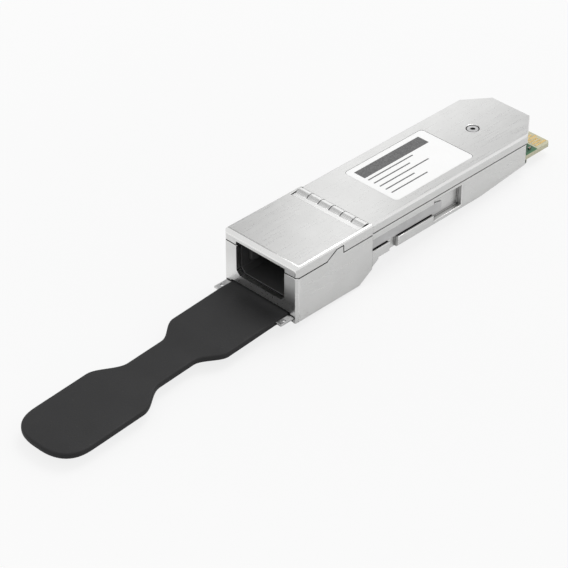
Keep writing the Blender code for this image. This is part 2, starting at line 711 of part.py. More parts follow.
def make_release_yoke(parent, material):
    """A flat plate under the port whose folded-up sides carry the two latch arms."""
    plate_y = (YOKE_FRONT_Y, YOKE_REAR_Y)
    yoke = block("release_yoke", both_ways(YOKE_HALF_WIDTH), plate_y, (YOKE_BOTTOM, YOKE_TOP))
    place(yoke, parent, material)
    inner = YOKE_HALF_WIDTH - YOKE_SHEET
    through = (YOKE_BOTTOM - BEYOND, YOKE_TOP + BEYOND)
    for name, side in SIDES.items():
        arm_outline = [
            (side * inner, RISER_Y),
            (side * YOKE_HALF_WIDTH, RISER_Y),
            (side * YOKE_HALF_WIDTH, ARM_FLARE_Y),
            (side * (YOKE_HALF_WIDTH + ARM_FLARE), ARM_END_Y),
            (side * (inner + ARM_FLARE), ARM_END_Y),
            (side * inner, ARM_FLARE_Y),
        ]
        riser_x = span_on_side(side, inner, YOKE_HALF_WIDTH)
        join(yoke,
             block(f"riser_{name}", riser_x, (RISER_Y, YOKE_REAR_Y), (YOKE_BOTTOM, ARM_TOP)),
             prism(f"arm_{name}", arm_outline, "Z", ARM_BOTTOM, ARM_TOP))
        window_x = span_on_side(side, SPRING_X - WINDOW_HALF_WIDTH, SPRING_X + WINDOW_HALF_WIDTH)
        hole_centre = (side * EAR_HOLE_X, YOKE_FRONT_Y + EAR_HOLE_SETBACK)
        ear_hole = circle(hole_centre, EAR_HOLE_RADIUS, SMALL_SIDES)
        cut(yoke,
            block(f"spring_window_{name}", window_x, (WINDOW_START_Y, SPRING_END_Y + CLEAR), through),
            prism(f"ear_hole_{name}", ear_hole, "Z", *through))
    return yoke


def smooth_step(share):
    share = min(max(share, 0.0), 1.0)
    return share * share * (3 - 2 * share)


def tab_half_width(y):
    """Half width of the tab: wide root, narrow waist, wide paddle with a rounded end."""
    into_waist = smooth_step((TAB_TAPER_IN[0] - y) / (TAB_TAPER_IN[0] - TAB_TAPER_IN[1]))
    into_paddle = smooth_step((TAB_TAPER_OUT[0] - y) / (TAB_TAPER_OUT[0] - TAB_TAPER_OUT[1]))
    half = TAB_ROOT_HALF + (TAB_WAIST_HALF - TAB_ROOT_HALF) * into_waist
    half += (TAB_PADDLE_HALF - TAB_WAIST_HALF) * into_paddle
    if y < TAB_END_ROUND_Y:
        share = (TAB_END_ROUND_Y - y) / (TAB_END_ROUND_Y - TAB_TIP_Y)
        half *= max(1 - share ** TAB_END_POWER, 0.0) ** (1 / TAB_END_POWER)
    return half


def tab_top(y):
    return TAB_TOP + TAB_DROOP_SLOPE * min(y - TAB_DROOP_START_Y, 0.0)


def tab_stations():
    """Distances along the tab, closer together where its outline bends."""
    stations = [TAB_REAR_Y, TAB_DROOP_START_Y, *TAB_TAPER_IN, *TAB_TAPER_OUT, TAB_END_ROUND_Y]
    for start, end in (TAB_TAPER_IN, TAB_TAPER_OUT):
        stations += [start + (end - start) * step / TAB_STEPS for step in range(1, TAB_STEPS)]
    for step in range(1, TAB_STEPS + 1):
        share = math.sin(math.pi / 2 * step / (TAB_STEPS + 1))
        stations.append(TAB_END_ROUND_Y + (TAB_TIP_Y - TAB_END_ROUND_Y) * share)
    return sorted(stations, reverse=True)


def make_pull_tab(parent, material):
    """A strap with eased edges whose outer length droops a little under its own weight."""
    rings = []
    for y in tab_stations():
        half = tab_half_width(y)
        top = tab_top(y)
        bottom = top - TAB_THICKNESS
        section = shell_outline(half, bottom, top, TAB_EDGE, TAB_EDGE)
        rings.append([Vector((x, y, z)) for x, z in section])
    tab = loft("pull_tab", rings)
    shade_round(tab)
    place(tab, parent, material)
    slit_y = (YOKE_FRONT_Y - CLEAR, TAB_REAR_Y + BEYOND)
    slit_z = (YOKE_BOTTOM - CLEAR, YOKE_TOP + CLEAR)
    cut(tab, block("tab_slit", both_ways(TAB_ROOT_HALF + BEYOND), slit_y, slit_z))
    return tab


def spring_points(side):
    """Middle line of one spring's wire, wound from the front to the rear."""
    count = SPRING_TURNS * POINTS_PER_TURN
    start = SPRING_START_Y + SPRING_WIRE_RADIUS
    length = SPRING_END_Y - SPRING_START_Y - 2 * SPRING_WIRE_RADIUS
    points = []
    for index in range(count + 1):
        angle = 2 * math.pi * index / POINTS_PER_TURN
        x = side * SPRING_X + SPRING_COIL_RADIUS * math.cos(angle)
        z = SPRING_Z + SPRING_COIL_RADIUS * math.sin(angle)
        points.append(Vector((x, start + length * index / count, z)))
    return points


def least_gap(points):
    """Smallest clear distance between the turns of a spring, from points at least half a turn apart."""
    apart = POINTS_PER_TURN // 2
    distances = []
    for index, point in enumerate(points):
        distances += [(other - point).length for other in points[index + apart:]]
    return min(distances) - 2 * SPRING_WIRE_RADIUS


def make_return_springs(parent, material):
    """Two compression springs, each one unbroken helix of round wire."""
    for name, side in SIDES.items():
        curve = bpy.data.curves.new(f"return_spring_{name}", "CURVE")
        curve.dimensions = "3D"
        curve.bevel_depth = SPRING_WIRE_RADIUS
        curve.bevel_resolution = 1
        curve.use_fill_caps = True
        points = spring_points(side)
        spline = curve.splines.new("POLY")
        spline.points.add(len(points) - 1)
        for spline_point, point in zip(spline.points, points):
            spline_point.co = (*point, 1.0)
        spring = bpy.data.objects.new(f"return_spring_{name}", curve)
        bpy.context.collection.objects.link(spring)
        place(spring, parent, material)
        print(f"return_spring_{name}: least gap between turns {least_gap(points) / MM:.2f} mm")


# Port

def height_about_port(half_height):
    return (PORT_AXIS_Z - half_height, PORT_AXIS_Z + half_height)


def make_receptacle(parent, material):
    outer_y = (FRAME_DEPTH + CLEAR, BAY_END_Y - CLEAR)
    outer_z = (BAY_BOTTOM + CLEAR, BAY_LID_Z - CLEAR)
    receptacle = block("mpo_receptacle", both_ways(BAY_HALF_WIDTH - CLEAR), outer_y, outer_z)
    place(receptacle, parent, material)
    bore = port_outline(PORT_HALF_WIDTH - LINING, PORT_BOTTOM + LINING, PORT_TOP - LINING, PORT_CORNER)
    window_y = (BORE_DEPTH_Y - BEYOND, BAY_END_Y)
    window_z = height_about_port(FERRULE_WINDOW_HALF_HEIGHT)
    pocket_y = (FLANGE_POCKET_Y, BAY_END_Y + BEYOND)
    pocket_z = height_about_port(FLANGE_POCKET_HALF_HEIGHT)
    cut(receptacle,
        prism("plug_bore", bore, "Y", -BEYOND, BORE_DEPTH_Y),
        block("ferrule_window", both_ways(FERRULE_WINDOW_HALF_WIDTH), window_y, window_z),
        block("flange_pocket", both_ways(FLANGE_POCKET_HALF_WIDTH), pocket_y, pocket_z))
    return receptacle


def make_plug_latch(parent, material):
    """A frame with two hooked arms that catch the shoulders of a fibre plug."""
    frame_z = height_about_port(LATCH_HALF_HEIGHT)
    latch = block("plug_latch", both_ways(LATCH_HALF_WIDTH), LATCH_FRAME_Y, frame_z)
    place(latch, parent, material)
    root_y = (LATCH_FRAME_Y[0] + LATCH_FRAME_Y[1]) / 2
    for name, side in SIDES.items():
        outline = [
            (side * HOOK_OUTER, HOOK_FRONT_Y),
            (side * HOOK_OUTER, root_y),
            (side * HOOK_INNER, root_y),
            (side * HOOK_INNER, HOOK_CATCH_Y),
            (side * HOOK_CATCH, HOOK_CATCH_Y),
            (side * HOOK_INNER, HOOK_FRONT_Y),
        ]
        join(latch, prism(f"hook_{name}", outline, "Z", *height_about_port(HOOK_HALF_HEIGHT)))
    window_y = (LATCH_FRAME_Y[0] - BEYOND, LATCH_FRAME_Y[1] + BEYOND)
    window_z = height_about_port(FERRULE_WINDOW_HALF_HEIGHT)
    cut(latch, block("latch_window", both_ways(FERRULE_WINDOW_HALF_WIDTH), window_y, window_z))
    return latch


def make_ferrule_set(parent, materials):
    """The fibre end block, its two guide pins and the clamp plate that keeps them."""
    body_z = height_about_port(FERRULE_HALF_HEIGHT)
    ferrule = block("mt_ferrule", both_ways(FERRULE_HALF_WIDTH), (FERRULE_FRONT_Y, FERRULE_REAR_Y), body_z)
    place(ferrule, parent, materials["ferrule"])
    flange_y = (FLANGE_START_Y, FERRULE_REAR_Y)
    flange_z = height_about_port(FLANGE_HALF_HEIGHT)
    join(ferrule, block("ferrule_flange", both_ways(FLANGE_HALF_WIDTH), flange_y, flange_z))
    clamp_y = (FERRULE_REAR_Y + CLEAR, CLAMP_REAR_Y)
    clamp = block("pin_clamp", both_ways(CLAMP_HALF_WIDTH), clamp_y, height_about_port(CLAMP_HALF_HEIGHT))
    place(clamp, parent, materials["steel"])
    slot_x = both_ways(RIBBON_SLOT_HALF_WIDTH)
    slot_y = (RIBBON_SLOT_START_Y, CLAMP_REAR_Y + BEYOND)
    slot_z = height_about_port(RIBBON_SLOT_HALF_HEIGHT)
    cut(ferrule, block("ferrule_slot", slot_x, slot_y, slot_z))
    cut(clamp, block("clamp_slot", slot_x, slot_y, slot_z))
    for name, side in SIDES.items():
        centre = (side * PIN_X, PORT_AXIS_Z)
        bore = circle(centre, PIN_RADIUS + PIN_PLAY, SMALL_SIDES)
        bore_y = (FERRULE_FRONT_Y - BEYOND, FERRULE_REAR_Y + BEYOND)
        cut(ferrule, prism(f"pin_bore_{name}", bore, "Y", *bore_y))
        pin_outline = circle(centre, PIN_RADIUS, SMALL_SIDES)
        pin = prism(f"guide_pin_{name}", pin_outline, "Y", PIN_FRONT_Y, FERRULE_REAR_Y)
        shade_round(pin)
        place(pin, parent, materials["steel"])


def make_fibre_ribbon(parent, material):
    """A flat ribbon that climbs from the ferrule to the lens block in one smooth bend."""
    lift_start, lift_end = RIBBON_LIFT
    lift_length = lift_end - lift_start
    stations = [lift_start + lift_length * step / RIBBON_STEPS for step in range(RIBBON_STEPS + 1)]
    lower = []
    for y in [RIBBON_START_Y, *stations, RIBBON_END_Y]:
        climb = (RIBBON_LENS_Z - PORT_AXIS_Z) * smooth_step((y - lift_start) / lift_length)
        lower.append((y, PORT_AXIS_Z + climb - RIBBON_THICKNESS / 2))
    upper = [(y, z + RIBBON_THICKNESS) for y, z in reversed(lower)]
    ribbon = prism("fibre_ribbon", lower + upper, "X", *both_ways(RIBBON_HALF_WIDTH))
    return place(ribbon, parent, material)


# Electronics

def make_circuit_board(parent, material):
    front = BOARD_BAY_HALF_WIDTH - BOARD_GAP
    rear = REAR_BAY_HALF_WIDTH - BOARD_GAP
    edge = BOARD_EDGE_HALF_WIDTH
    right = [
        (front, BOARD_BAY_Y + BOARD_GAP),
        (front, REAR_BAY_Y + BOARD_GAP),
        (rear, REAR_BAY_Y + BOARD_GAP),
        (rear, WALL_END_Y + BOARD_GAP),
        (edge, WALL_END_Y + BOARD_GAP),
        (edge, MODULE_LENGTH - BOARD_EDGE_CORNER),
        (edge - BOARD_EDGE_CORNER, MODULE_LENGTH),
    ]
    left = [(-x, y) for x, y in reversed(right)]
    board = prism("circuit_board", right + left, "Z", BOARD_BOTTOM, BOARD_TOP)
    place(board, parent, material)
    post_hole = circle((0.0, SCREW_Y), POST_RADIUS + BOARD_GAP)
    cut(board, prism("post_hole", post_hole, "Z", FLOOR_TOP, LID_UNDERSIDE))
    return board


def make_lens_block(parent, material):
    lens_y = (LENS_START_Y, LENS_END_Y)
    lens = block("lens_block", both_ways(LENS_HALF_WIDTH), lens_y, (BOARD_TOP + CLEAR, LENS_TOP))
    place(lens, parent, material)
    slot_y = (LENS_START_Y - BEYOND, RIBBON_END_Y + BOARD_GAP)
    slot_z = (RIBBON_LENS_Z - RIBBON_SLOT_HALF_HEIGHT, RIBBON_LENS_Z + RIBBON_SLOT_HALF_HEIGHT)
    cavity_z = (BOARD_BOTTOM, LENS_CAVITY_TOP)
    cut(lens,
        block("lens_slot", both_ways(RIBBON_SLOT_HALF_WIDTH), slot_y, slot_z),
        block("lens_cavity", both_ways(LENS_CAVITY_HALF_WIDTH), LENS_CAVITY_Y, cavity_z))
    return lens


def make_board_parts(parent, materials):
    """Chips, crystal and inductors on the board, and the two pads under the lid."""
    bottom = BOARD_TOP + CLEAR
    for name, material, x_span, y_span, height in BOARD_PARTS:
        part_x = [x * MM for x in x_span]
        part_y = [y * MM for y in y_span]
        part = block(name, part_x, part_y, (bottom, bottom + height * MM))
        place(part, parent, materials[material])
    pad_y = (PEDESTAL_Y[0] + PAD_INSET, PEDESTAL_Y[1] - PAD_INSET)
    pad_z = (PAD_BOTTOM, PEDESTAL_BOTTOM - CLEAR)
    pad = block("thermal_pad", both_ways(PEDESTAL_HALF_WIDTH - PAD_INSET), pad_y, pad_z)
    place(pad, parent, materials["pad"])
    absorber_z = (ABSORBER_BOTTOM, LID_UNDERSIDE - CLEAR)
    absorber = block("absorber_pad", both_ways(ABSORBER_HALF_WIDTH), ABSORBER_Y, absorber_z)
    place(absorber, parent, materials["gasket"])


def make_gaskets(parent, material):
    for name, side in SIDES.items():
        gasket_x = span_on_side(side, GASKET_INNER, GASKET_OUTER)
        gasket = block(f"gasket_{name}", gasket_x, GASKET_Y, (GASKET_BOTTOM, SEAM_Z - CLEAR))
        place(gasket, parent, material)


def make_materials():
    return {
        "shell": make_material("plated_casting", (0.74, 0.74, 0.73), 0.28, 1.0),
        "steel": make_material("spring_steel", (0.62, 0.62, 0.62), 0.25, 1.0),
        "tab": make_material("tab_elastomer", (0.05, 0.05, 0.052), 0.6, 0.0),
        "port": make_material("port_plastic", (0.015, 0.015, 0.016), 0.45, 0.0),
        "ferrule": make_material("ferrule_plastic", (0.03, 0.03, 0.035), 0.4, 0.0),
        "label": make_material("label_film", (0.93, 0.93, 0.93), 0.5, 0.0),
        "board": make_material("board_laminate", (0.03, 0.16, 0.07), 0.4, 0.0),
        "chip": make_material("chip_package", (0.025, 0.025, 0.028), 0.5, 0.0),
        "gold": make_material("gold_plate", (0.83, 0.62, 0.25), 0.3, 1.0),
        "lens": make_material("lens_resin", (0.55, 0.36, 0.12), 0.15, 0.0),
        "ribbon": make_material("ribbon_coating", (0.35, 0.62, 0.66), 0.35, 0.0),
        "pad": make_material("pad_silicone", (0.42, 0.5, 0.58), 0.7, 0.0),
        "gasket": make_material("gasket_elastomer", (0.16, 0.16, 0.17), 0.7, 0.0),
    }


def main():
    clear_scene()
    materials = make_materials()
    front = (0.0, -ORIGIN_BEHIND_FRONT, 0.0)
    module = make_empty("module_datum", front)
    release = make_empty("release_datum", front)
    make_bottom_housing(module, materials["shell"])
    make_top_cover(module, materials["shell"])
    make_label(module, materials["label"])
    make_emi_collar(module, materials["steel"])
    make_screws(module, materials["steel"])
    make_nose_plate(module, materials["steel"])
    make_release_yoke(release, materials["steel"])
    make_pull_tab(release, materials["tab"])
    make_return_springs(module, materials["steel"])
    make_receptacle(module, materials["port"])
    make_plug_latch(module, materials["port"])
    make_ferrule_set(module, materials)
    make_fibre_ribbon(module, materials["ribbon"])
    make_circuit_board(module, materials["board"])
    make_lens_block(module, materials["lens"])
    make_board_parts(module, materials)
    make_gaskets(module, materials["gasket"])


main()
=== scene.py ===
"""Looks of a pluggable optical transceiver module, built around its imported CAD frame.

Hard CAD nodes are shown as copies with eased edges, soft and wound ones as fuller forms of the
same size, and the label's print, contacts, passives and fibre ends are added on top. Lengths are
metres in the CAD frame: +Y from the fibre port to the board edge, +Z up, origin on the flat underside.
"""

import json
import math

import bmesh
import bpy
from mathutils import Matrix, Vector

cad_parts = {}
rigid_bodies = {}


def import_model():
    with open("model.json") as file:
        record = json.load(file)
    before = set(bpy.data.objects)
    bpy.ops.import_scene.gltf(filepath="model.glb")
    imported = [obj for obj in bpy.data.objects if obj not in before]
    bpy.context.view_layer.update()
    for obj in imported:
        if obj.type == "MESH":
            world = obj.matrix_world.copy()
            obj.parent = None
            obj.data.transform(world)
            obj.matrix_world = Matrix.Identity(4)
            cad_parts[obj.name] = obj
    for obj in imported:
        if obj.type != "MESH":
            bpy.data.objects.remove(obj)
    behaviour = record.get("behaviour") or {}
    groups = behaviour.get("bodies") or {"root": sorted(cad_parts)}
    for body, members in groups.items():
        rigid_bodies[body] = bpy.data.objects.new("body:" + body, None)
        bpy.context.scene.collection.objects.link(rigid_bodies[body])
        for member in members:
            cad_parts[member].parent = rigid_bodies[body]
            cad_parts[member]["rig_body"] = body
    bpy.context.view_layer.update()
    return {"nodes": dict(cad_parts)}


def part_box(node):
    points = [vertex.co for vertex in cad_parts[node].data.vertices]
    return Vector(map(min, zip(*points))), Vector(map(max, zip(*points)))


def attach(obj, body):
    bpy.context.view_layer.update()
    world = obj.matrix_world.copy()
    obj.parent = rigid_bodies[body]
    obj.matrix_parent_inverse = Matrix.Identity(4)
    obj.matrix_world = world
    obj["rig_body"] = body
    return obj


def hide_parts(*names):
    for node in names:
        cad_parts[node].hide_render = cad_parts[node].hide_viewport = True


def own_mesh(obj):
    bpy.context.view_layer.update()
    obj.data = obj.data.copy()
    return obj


MM = 0.001

# Camera, fitted to the photograph's outline
CAMERA_PLACE = Vector((0.2758, -0.3186, 0.2764))
CAMERA_AZIMUTH = math.radians(44.69)
CAMERA_ELEVATION = math.radians(35.40)
CAMERA_LENS = 164.8
CAMERA_SENSOR = 36.0
CAMERA_CLIP = (0.01, 10.0)

# Lengths of the CAD frame that the pieces here repeat
FRONT_Y = -46.0 * MM
NOSE_BOTTOM = -3.6 * MM
NOSE_HEEL_Y = -30.0 * MM
SHELL_END_Y = 23.7 * MM
PORT_AXIS_Z = 3.6 * MM

# White world as a light: its strength rises along Y, from the front to behind the module
WHITE = (1.0, 1.0, 1.0, 1.0)
WORLD_Y = (-0.8, 0.8)
WORLD_STRENGTH = (0.35, 1.05)

# Key lamp, above and behind the module
KEY_PLACE = Vector((-0.05, 0.3, 0.62))
KEY_TARGET = Vector((0.0, -0.03, 0.0))
KEY_SIZE = 0.4
KEY_POWER = 1.75

# Floor: its size, and the share of plain white it gives the camera by distance and the object by X
FLOOR_GREY = (0.8, 0.8, 0.8, 1.0)
FLOOR_HALF_WIDTH = 600.0 * MM
FLOOR_REACH = 700.0 * MM
FLOOR_GAP = 0.02 * MM
PALING_DISTANCE = (60.0 * MM, 300.0 * MM)
PALING_SHARE = (0.8, 1.0)
MIRRORED_X = (-12.0 * MM, 12.0 * MM)
MIRRORED_SHARE = (0.9, 0.0)

# Grey cards seen only in reflections: place in X, and spans in Y and Z
CARDS = {
    "card_front": (-75.0 * MM, (-60.0 * MM, 36.0 * MM), (30.0 * MM, 160.0 * MM)),
    "card_middle": (-30.0 * MM, (22.0 * MM, 70.0 * MM), (41.0 * MM, 90.0 * MM)),
    "card_rear": (-75.0 * MM, (122.0 * MM, 180.0 * MM), (30.0 * MM, 160.0 * MM)),
}
CARD_GREY = (0.48, 0.48, 0.48, 1.0)

# Pull tab: half widths at distances behind the front face, as in the CAD solid
TAB_TOP = -1.95 * MM
TAB_THICKNESS = 1.25 * MM
TAB_REAR = 2.5 * MM
TAB_DROOP_START = -3.6 * MM
TAB_DROOP_SLOPE = 0.067
TAB_ROOT_HALF = 7.4 * MM
TAB_WAIST_HALF = 4.3 * MM
TAB_PADDLE_HALF = 7.65 * MM
TAB_TAPER_IN = (-15.2 * MM, -21.0 * MM)
TAB_TAPER_OUT = (-29.2 * MM, -36.2 * MM)
TAB_END_ROUND = -47.8 * MM
TAB_TIP = -54.5 * MM
TAB_END_POWER = 2.6
TAB_STRAIGHT_STEPS = 90
TAB_ROUND_STEPS = 24
TAB_EDGE_RADIUS = 0.42 * MM
TAB_EDGE_STEPS = 5
TAB_SLIT_FRONT = -3.45 * MM
TAB_SLIT_Z = (-2.7 * MM, -2.2 * MM)

# Return springs
SPRING_X = 6.5 * MM
SPRING_Z = -2.5 * MM
SPRING_SPAN = (-42.05 * MM, -35.05 * MM)
SPRING_TURNS = 8
SPRING_TURN_POINTS = 24
SPRING_COIL_RADIUS = 0.45 * MM
SPRING_WIRE_RADIUS = 0.1 * MM
SPRING_WIRE_SIDES = 10

# Fibre ribbon, whose height ripples over each fibre, and the fibre ends
FIBRES = 12
FIBRE_PITCH = 0.25 * MM
RIBBON_START = 10.4 * MM
RIBBON_END = 28.3 * MM
RIBBON_STEPS = 48
RIBBON_LIFT = (15.4 * MM, 25.6 * MM)
RIBBON_LENS_Z = 4.1 * MM
RIBBON_HALF_HEIGHT = 0.18 * MM
RIBBON_LEVEL = 0.72
RIBBON_RIPPLE = 0.28
RIPPLE_PLACES = (-0.5, -0.25, 0.0, 0.25)
FERRULE_FRONT = 8.0 * MM
FIBRE_END_RADIUS = 0.07 * MM
FIBRE_END_TAPER = 0.85
FIBRE_END_DEPTH = 0.02 * MM
FIBRE_END_SIDES = 16

# Label print: one plain band and evenly spaced rules, with Y measured from the front face
BAND_X = (-5.5 * MM, -2.7 * MM)
BAND_Y = (30.6 * MM, 48.6 * MM)
RULE_FIRST_X = -1.95 * MM
RULE_PITCH = 1.5 * MM
RULE_WIDTH = 0.3 * MM
RULE_LENGTHS = (12.4 * MM, 10.0 * MM, 13.6 * MM, 8.0 * MM, 10.0 * MM)
PRINT_THICKNESS = 0.012 * MM

# Contacts on the board's tail
CONTACTS = 19
CONTACT_PITCH = 0.8 * MM
CONTACT_HALF_WIDTH = 0.27 * MM
CONTACT_SPAN = (23.1 * MM, 26.1 * MM)
CONTACT_SET_BACK = 0.5 * MM
CONTACT_LONG_EVERY = 3
CONTACT_THICKNESS = 0.03 * MM
CONTACT_EDGE = 0.01 * MM

# Passives in front of the contacts: their bodies are a little slimmer than their tinned ends
PASSIVE_SIZE = (0.3 * MM, 0.6 * MM, 0.3 * MM)
PASSIVE_END = 0.15 * MM
PASSIVE_SLIMMER = 0.01 * MM
PASSIVE_LOWER = 0.02 * MM
PASSIVE_ROWS = (19.6 * MM, 21.2 * MM)
PASSIVE_PITCH = 1.0 * MM
PASSIVES_A_SIDE = 7

# Bare laminate: its tones, and where the solder mask ends before the contacts
BARE_LAMINATE = (0.62, 0.6, 0.43)
BARE_LAMINATE_DARK = (0.5, 0.48, 0.33)
MASK_END_Y = 22.6 * MM
MASK_FADE = 0.05 * MM

# Eased edges: node, width of the edge, material
EDGES = {
    "bottom_housing": (0.11 * MM, "shell"),
    "top_cover": (0.12 * MM, "shell"),
    "emi_collar": (0.03 * MM, "finger"),
    "cover_screw": (0.07 * MM, "steel"),
    "plate_screw_left": (0.05 * MM, "steel"),
    "plate_screw_right": (0.05 * MM, "steel"),
    "nose_plate": (0.06 * MM, "steel"),
    "release_yoke": (0.06 * MM, "steel"),
    "guide_pin_left": (0.06 * MM, "steel"),
    "guide_pin_right": (0.06 * MM, "steel"),
    "pin_clamp": (0.05 * MM, "steel"),
    "clock_crystal": (0.08 * MM, "steel"),
    "mpo_receptacle": (0.1 * MM, "port"),
    "plug_latch": (0.08 * MM, "port"),
    "mt_ferrule": (0.06 * MM, "ferrule"),
    "label": (0.02 * MM, "label"),
    "circuit_board": (0.05 * MM, "board"),
    "lens_block": (0.08 * MM, "lens"),
    "laser_array": (0.02 * MM, "gold"),
    "photodiode_array": (0.02 * MM, "gold"),
    "laser_driver": (0.06 * MM, "chip"),
    "receiver_amplifier": (0.06 * MM, "chip"),
    "controller": (0.06 * MM, "chip"),
    "power_inductor_left": (0.15 * MM, "chip"),
    "power_inductor_right": (0.15 * MM, "chip"),
}
SOFT_EDGES = {
    "thermal_pad": (0.3 * MM, "pad"),
    "absorber_pad": (0.25 * MM, "gasket"),
    "gasket_left": (0.15 * MM, "gasket"),
    "gasket_right": (0.15 * MM, "gasket"),
}
EDGE_SEGMENTS = 2
SOFT_SEGMENTS = 4
EDGE_ANGLE = math.radians(30)
SMOOTH_ANGLE = math.radians(35)

# The rim of the port stays sharp: half width, and depth from the front face
CRISP_RIM = {"bottom_housing": (8.0 * MM, 0.1 * MM)}

# Joining of a node's points and flat faces before its edges are eased
MERGE_DISTANCE = 0.001 * MM
FLAT_ANGLE = math.radians(1)

# Shares of a face, or of a neighbouring edge, that one rounding may take
SHARED_ROOM = 0.5
WHOLE_ROOM = 0.9
SAFE_ROOM = 0.9

# Angle, in radians, past which a corner between two edges counts as straight
WIDEST_CORNER = 3.1

# Sockets of a node that mixes colours
MIX_COLOURS = (6, 7)
MIX_RESULT = 2

# Spans of a texture's values, and what they are spread over
CLOUD_SPAN = (0.35, 0.65)
MIDDLE_SPAN = (0.3, 0.7)
RISING = (0.0, 1.0)
FALLING = (1.0, 0.0)

# Stretch of the lines left by casting and by rolling, for X, Y and Z, and their depth
CAST_LINES = (2600.0, 130.0, 2600.0)
ROLLED_LINES = (9000.0, 350.0, 9000.0)
LINE_DEPTH = 0.004 * MM

# Painted shade on the metal: its recesses are darkened, and seams between pieces painted near black
RECESS_REACH = 2.0 * MM
RECESS_SPAN = (0.45, 0.95)
RECESS_SHADE_SHARE = 0.72
SEAM_REACH = 0.4 * MM
SEAM_SPAN = (0.62, 0.97)
SEAM_SHADE_SHARE = 0.08

# Satin of the metal, and the matt front with the height over which it is rubbed smooth
SATIN_SPAN = (0.12, 0.38)
SATIN_SPREAD = 0.045
FRONT_SPAN = (-0.98, -0.9)
RUBBED_Z = (0.5 * MM, 4.5 * MM)


# Node helpers

def add_node(tree, kind, **values):
    """A new node with some sockets set; an underscore in a socket's name stands for a space."""
    node = tree.nodes.new(kind)
    for socket, value in values.items():
        node.inputs[socket.replace("_", " ")].default_value = value
    return node


def spread_over(tree, value, span, result):
    """The value with its span spread over that of the result."""
    limits = dict(From_Min=span[0], From_Max=span[1], To_Min=result[0], To_Max=result[1])
    spread = add_node(tree, "ShaderNodeMapRange", **limits)
    tree.links.new(value, spread.inputs["Value"])
    return spread.outputs["Result"]


def combine(tree, operation, first, second):
    """A sum, product or the like of two values; each may be a socket or a number."""
    node = tree.nodes.new("ShaderNodeMath")
    node.operation = operation
    for socket, value in zip(node.inputs, (first, second)):
        if isinstance(value, float):
            socket.default_value = value
        else:
            tree.links.new(value, socket)
    return node.outputs["Value"]


def axis_of(tree, vector, axis):
    parts = tree.nodes.new("ShaderNodeSeparateXYZ")
    tree.links.new(vector, parts.inputs["Vector"])
    return parts.outputs[axis]


def mix_shaders(tree, factor, first, second):
    mix = tree.nodes.new("ShaderNodeMixShader")
    for socket, value in zip(mix.inputs, (factor, first, second)):
        tree.links.new(value, socket)
    return mix.outputs["Shader"]


class Shader:
    """A Principled material with a plain tone to start from, and short ways to hang textures on it."""

    def __init__(self, name, colour, roughness, metallic=0.0, **fixed):
        self.material = bpy.data.materials.new(name)
        self.material.use_nodes = True
        self.tree = self.material.node_tree
        self.surface = self.tree.nodes["Principled BSDF"]
        self.surface.inputs["Base Color"].default_value = (*colour, 1.0)
        self.surface.inputs["Roughness"].default_value = roughness
        self.surface.inputs["Metallic"].default_value = metallic
        for socket, value in fixed.items():
            self.surface.inputs[socket.replace("_", " ")].default_value = value
        coordinates = self.tree.nodes.new("ShaderNodeTexCoord").outputs
        self.place = coordinates["Object"]
        self.normal = coordinates["Normal"]

    def link(self, source, target):
        self.tree.links.new(source, target)

    def noise(self, scale, detail=2.0, place=None):
        texture = add_node(self.tree, "ShaderNodeTexNoise", Scale=scale, Detail=detail)
        self.link(place or self.place, texture.inputs["Vector"])
        return texture.outputs["Fac"]

    def streaks(self, scale, detail):
        """Noise with a scale of its own on each axis."""
        mapping = add_node(self.tree, "ShaderNodeMapping", Scale=scale)
        self.link(self.place, mapping.inputs["Vector"])
        return self.noise(1.0, detail, mapping.outputs["Vector"])

    def cells(self, scale):
        texture = add_node(self.tree, "ShaderNodeTexVoronoi", Scale=scale)
        self.link(self.place, texture.inputs["Vector"])
        return texture.outputs["Distance"]

    def spread(self, value, span, result=RISING):
        return spread_over(self.tree, value, span, result)

    def combine(self, operation, first, second):
        return combine(self.tree, operation, first, second)

    def axis(self, vector, axis):
        return axis_of(self.tree, vector, axis)

    def blend(self, factor, first, second):
        """A colour that runs from the first to the second; either may be a socket or a colour."""
        mix = self.tree.nodes.new("ShaderNodeMix")
        mix.data_type = "RGBA"
        self.link(factor, mix.inputs["Factor"])
        for index, value in zip(MIX_COLOURS, (first, second)):
            if isinstance(value, tuple):
                mix.inputs[index].default_value = (*value, 1.0)
            else:
                self.link(value, mix.inputs[index])
        return mix.outputs[MIX_RESULT]

    def colour(self, socket):
        self.link(socket, self.surface.inputs["Base Color"])

    def roughness(self, socket):
        self.link(socket, self.surface.inputs["Roughness"])

    def openness(self, reach, same_piece):
        """Near 1 on open faces and lower in recesses of the piece, or in seams with its neighbours too."""
        shade = add_node(self.tree, "ShaderNodeAmbientOcclusion", Distance=reach)
        shade.only_local = same_piece
        return shade.outputs["AO"]

    def bump(self, height, depth, strength, under=None):
        bump = add_node(self.tree, "ShaderNodeBump", Distance=depth, Strength=strength)
        self.link(height, bump.inputs["Height"])
        if under:
            self.link(under, bump.inputs["Normal"])
        self.link(bump.outputs["Normal"], self.surface.inputs["Normal"])
        return bump.outputs["Normal"]


# Materials

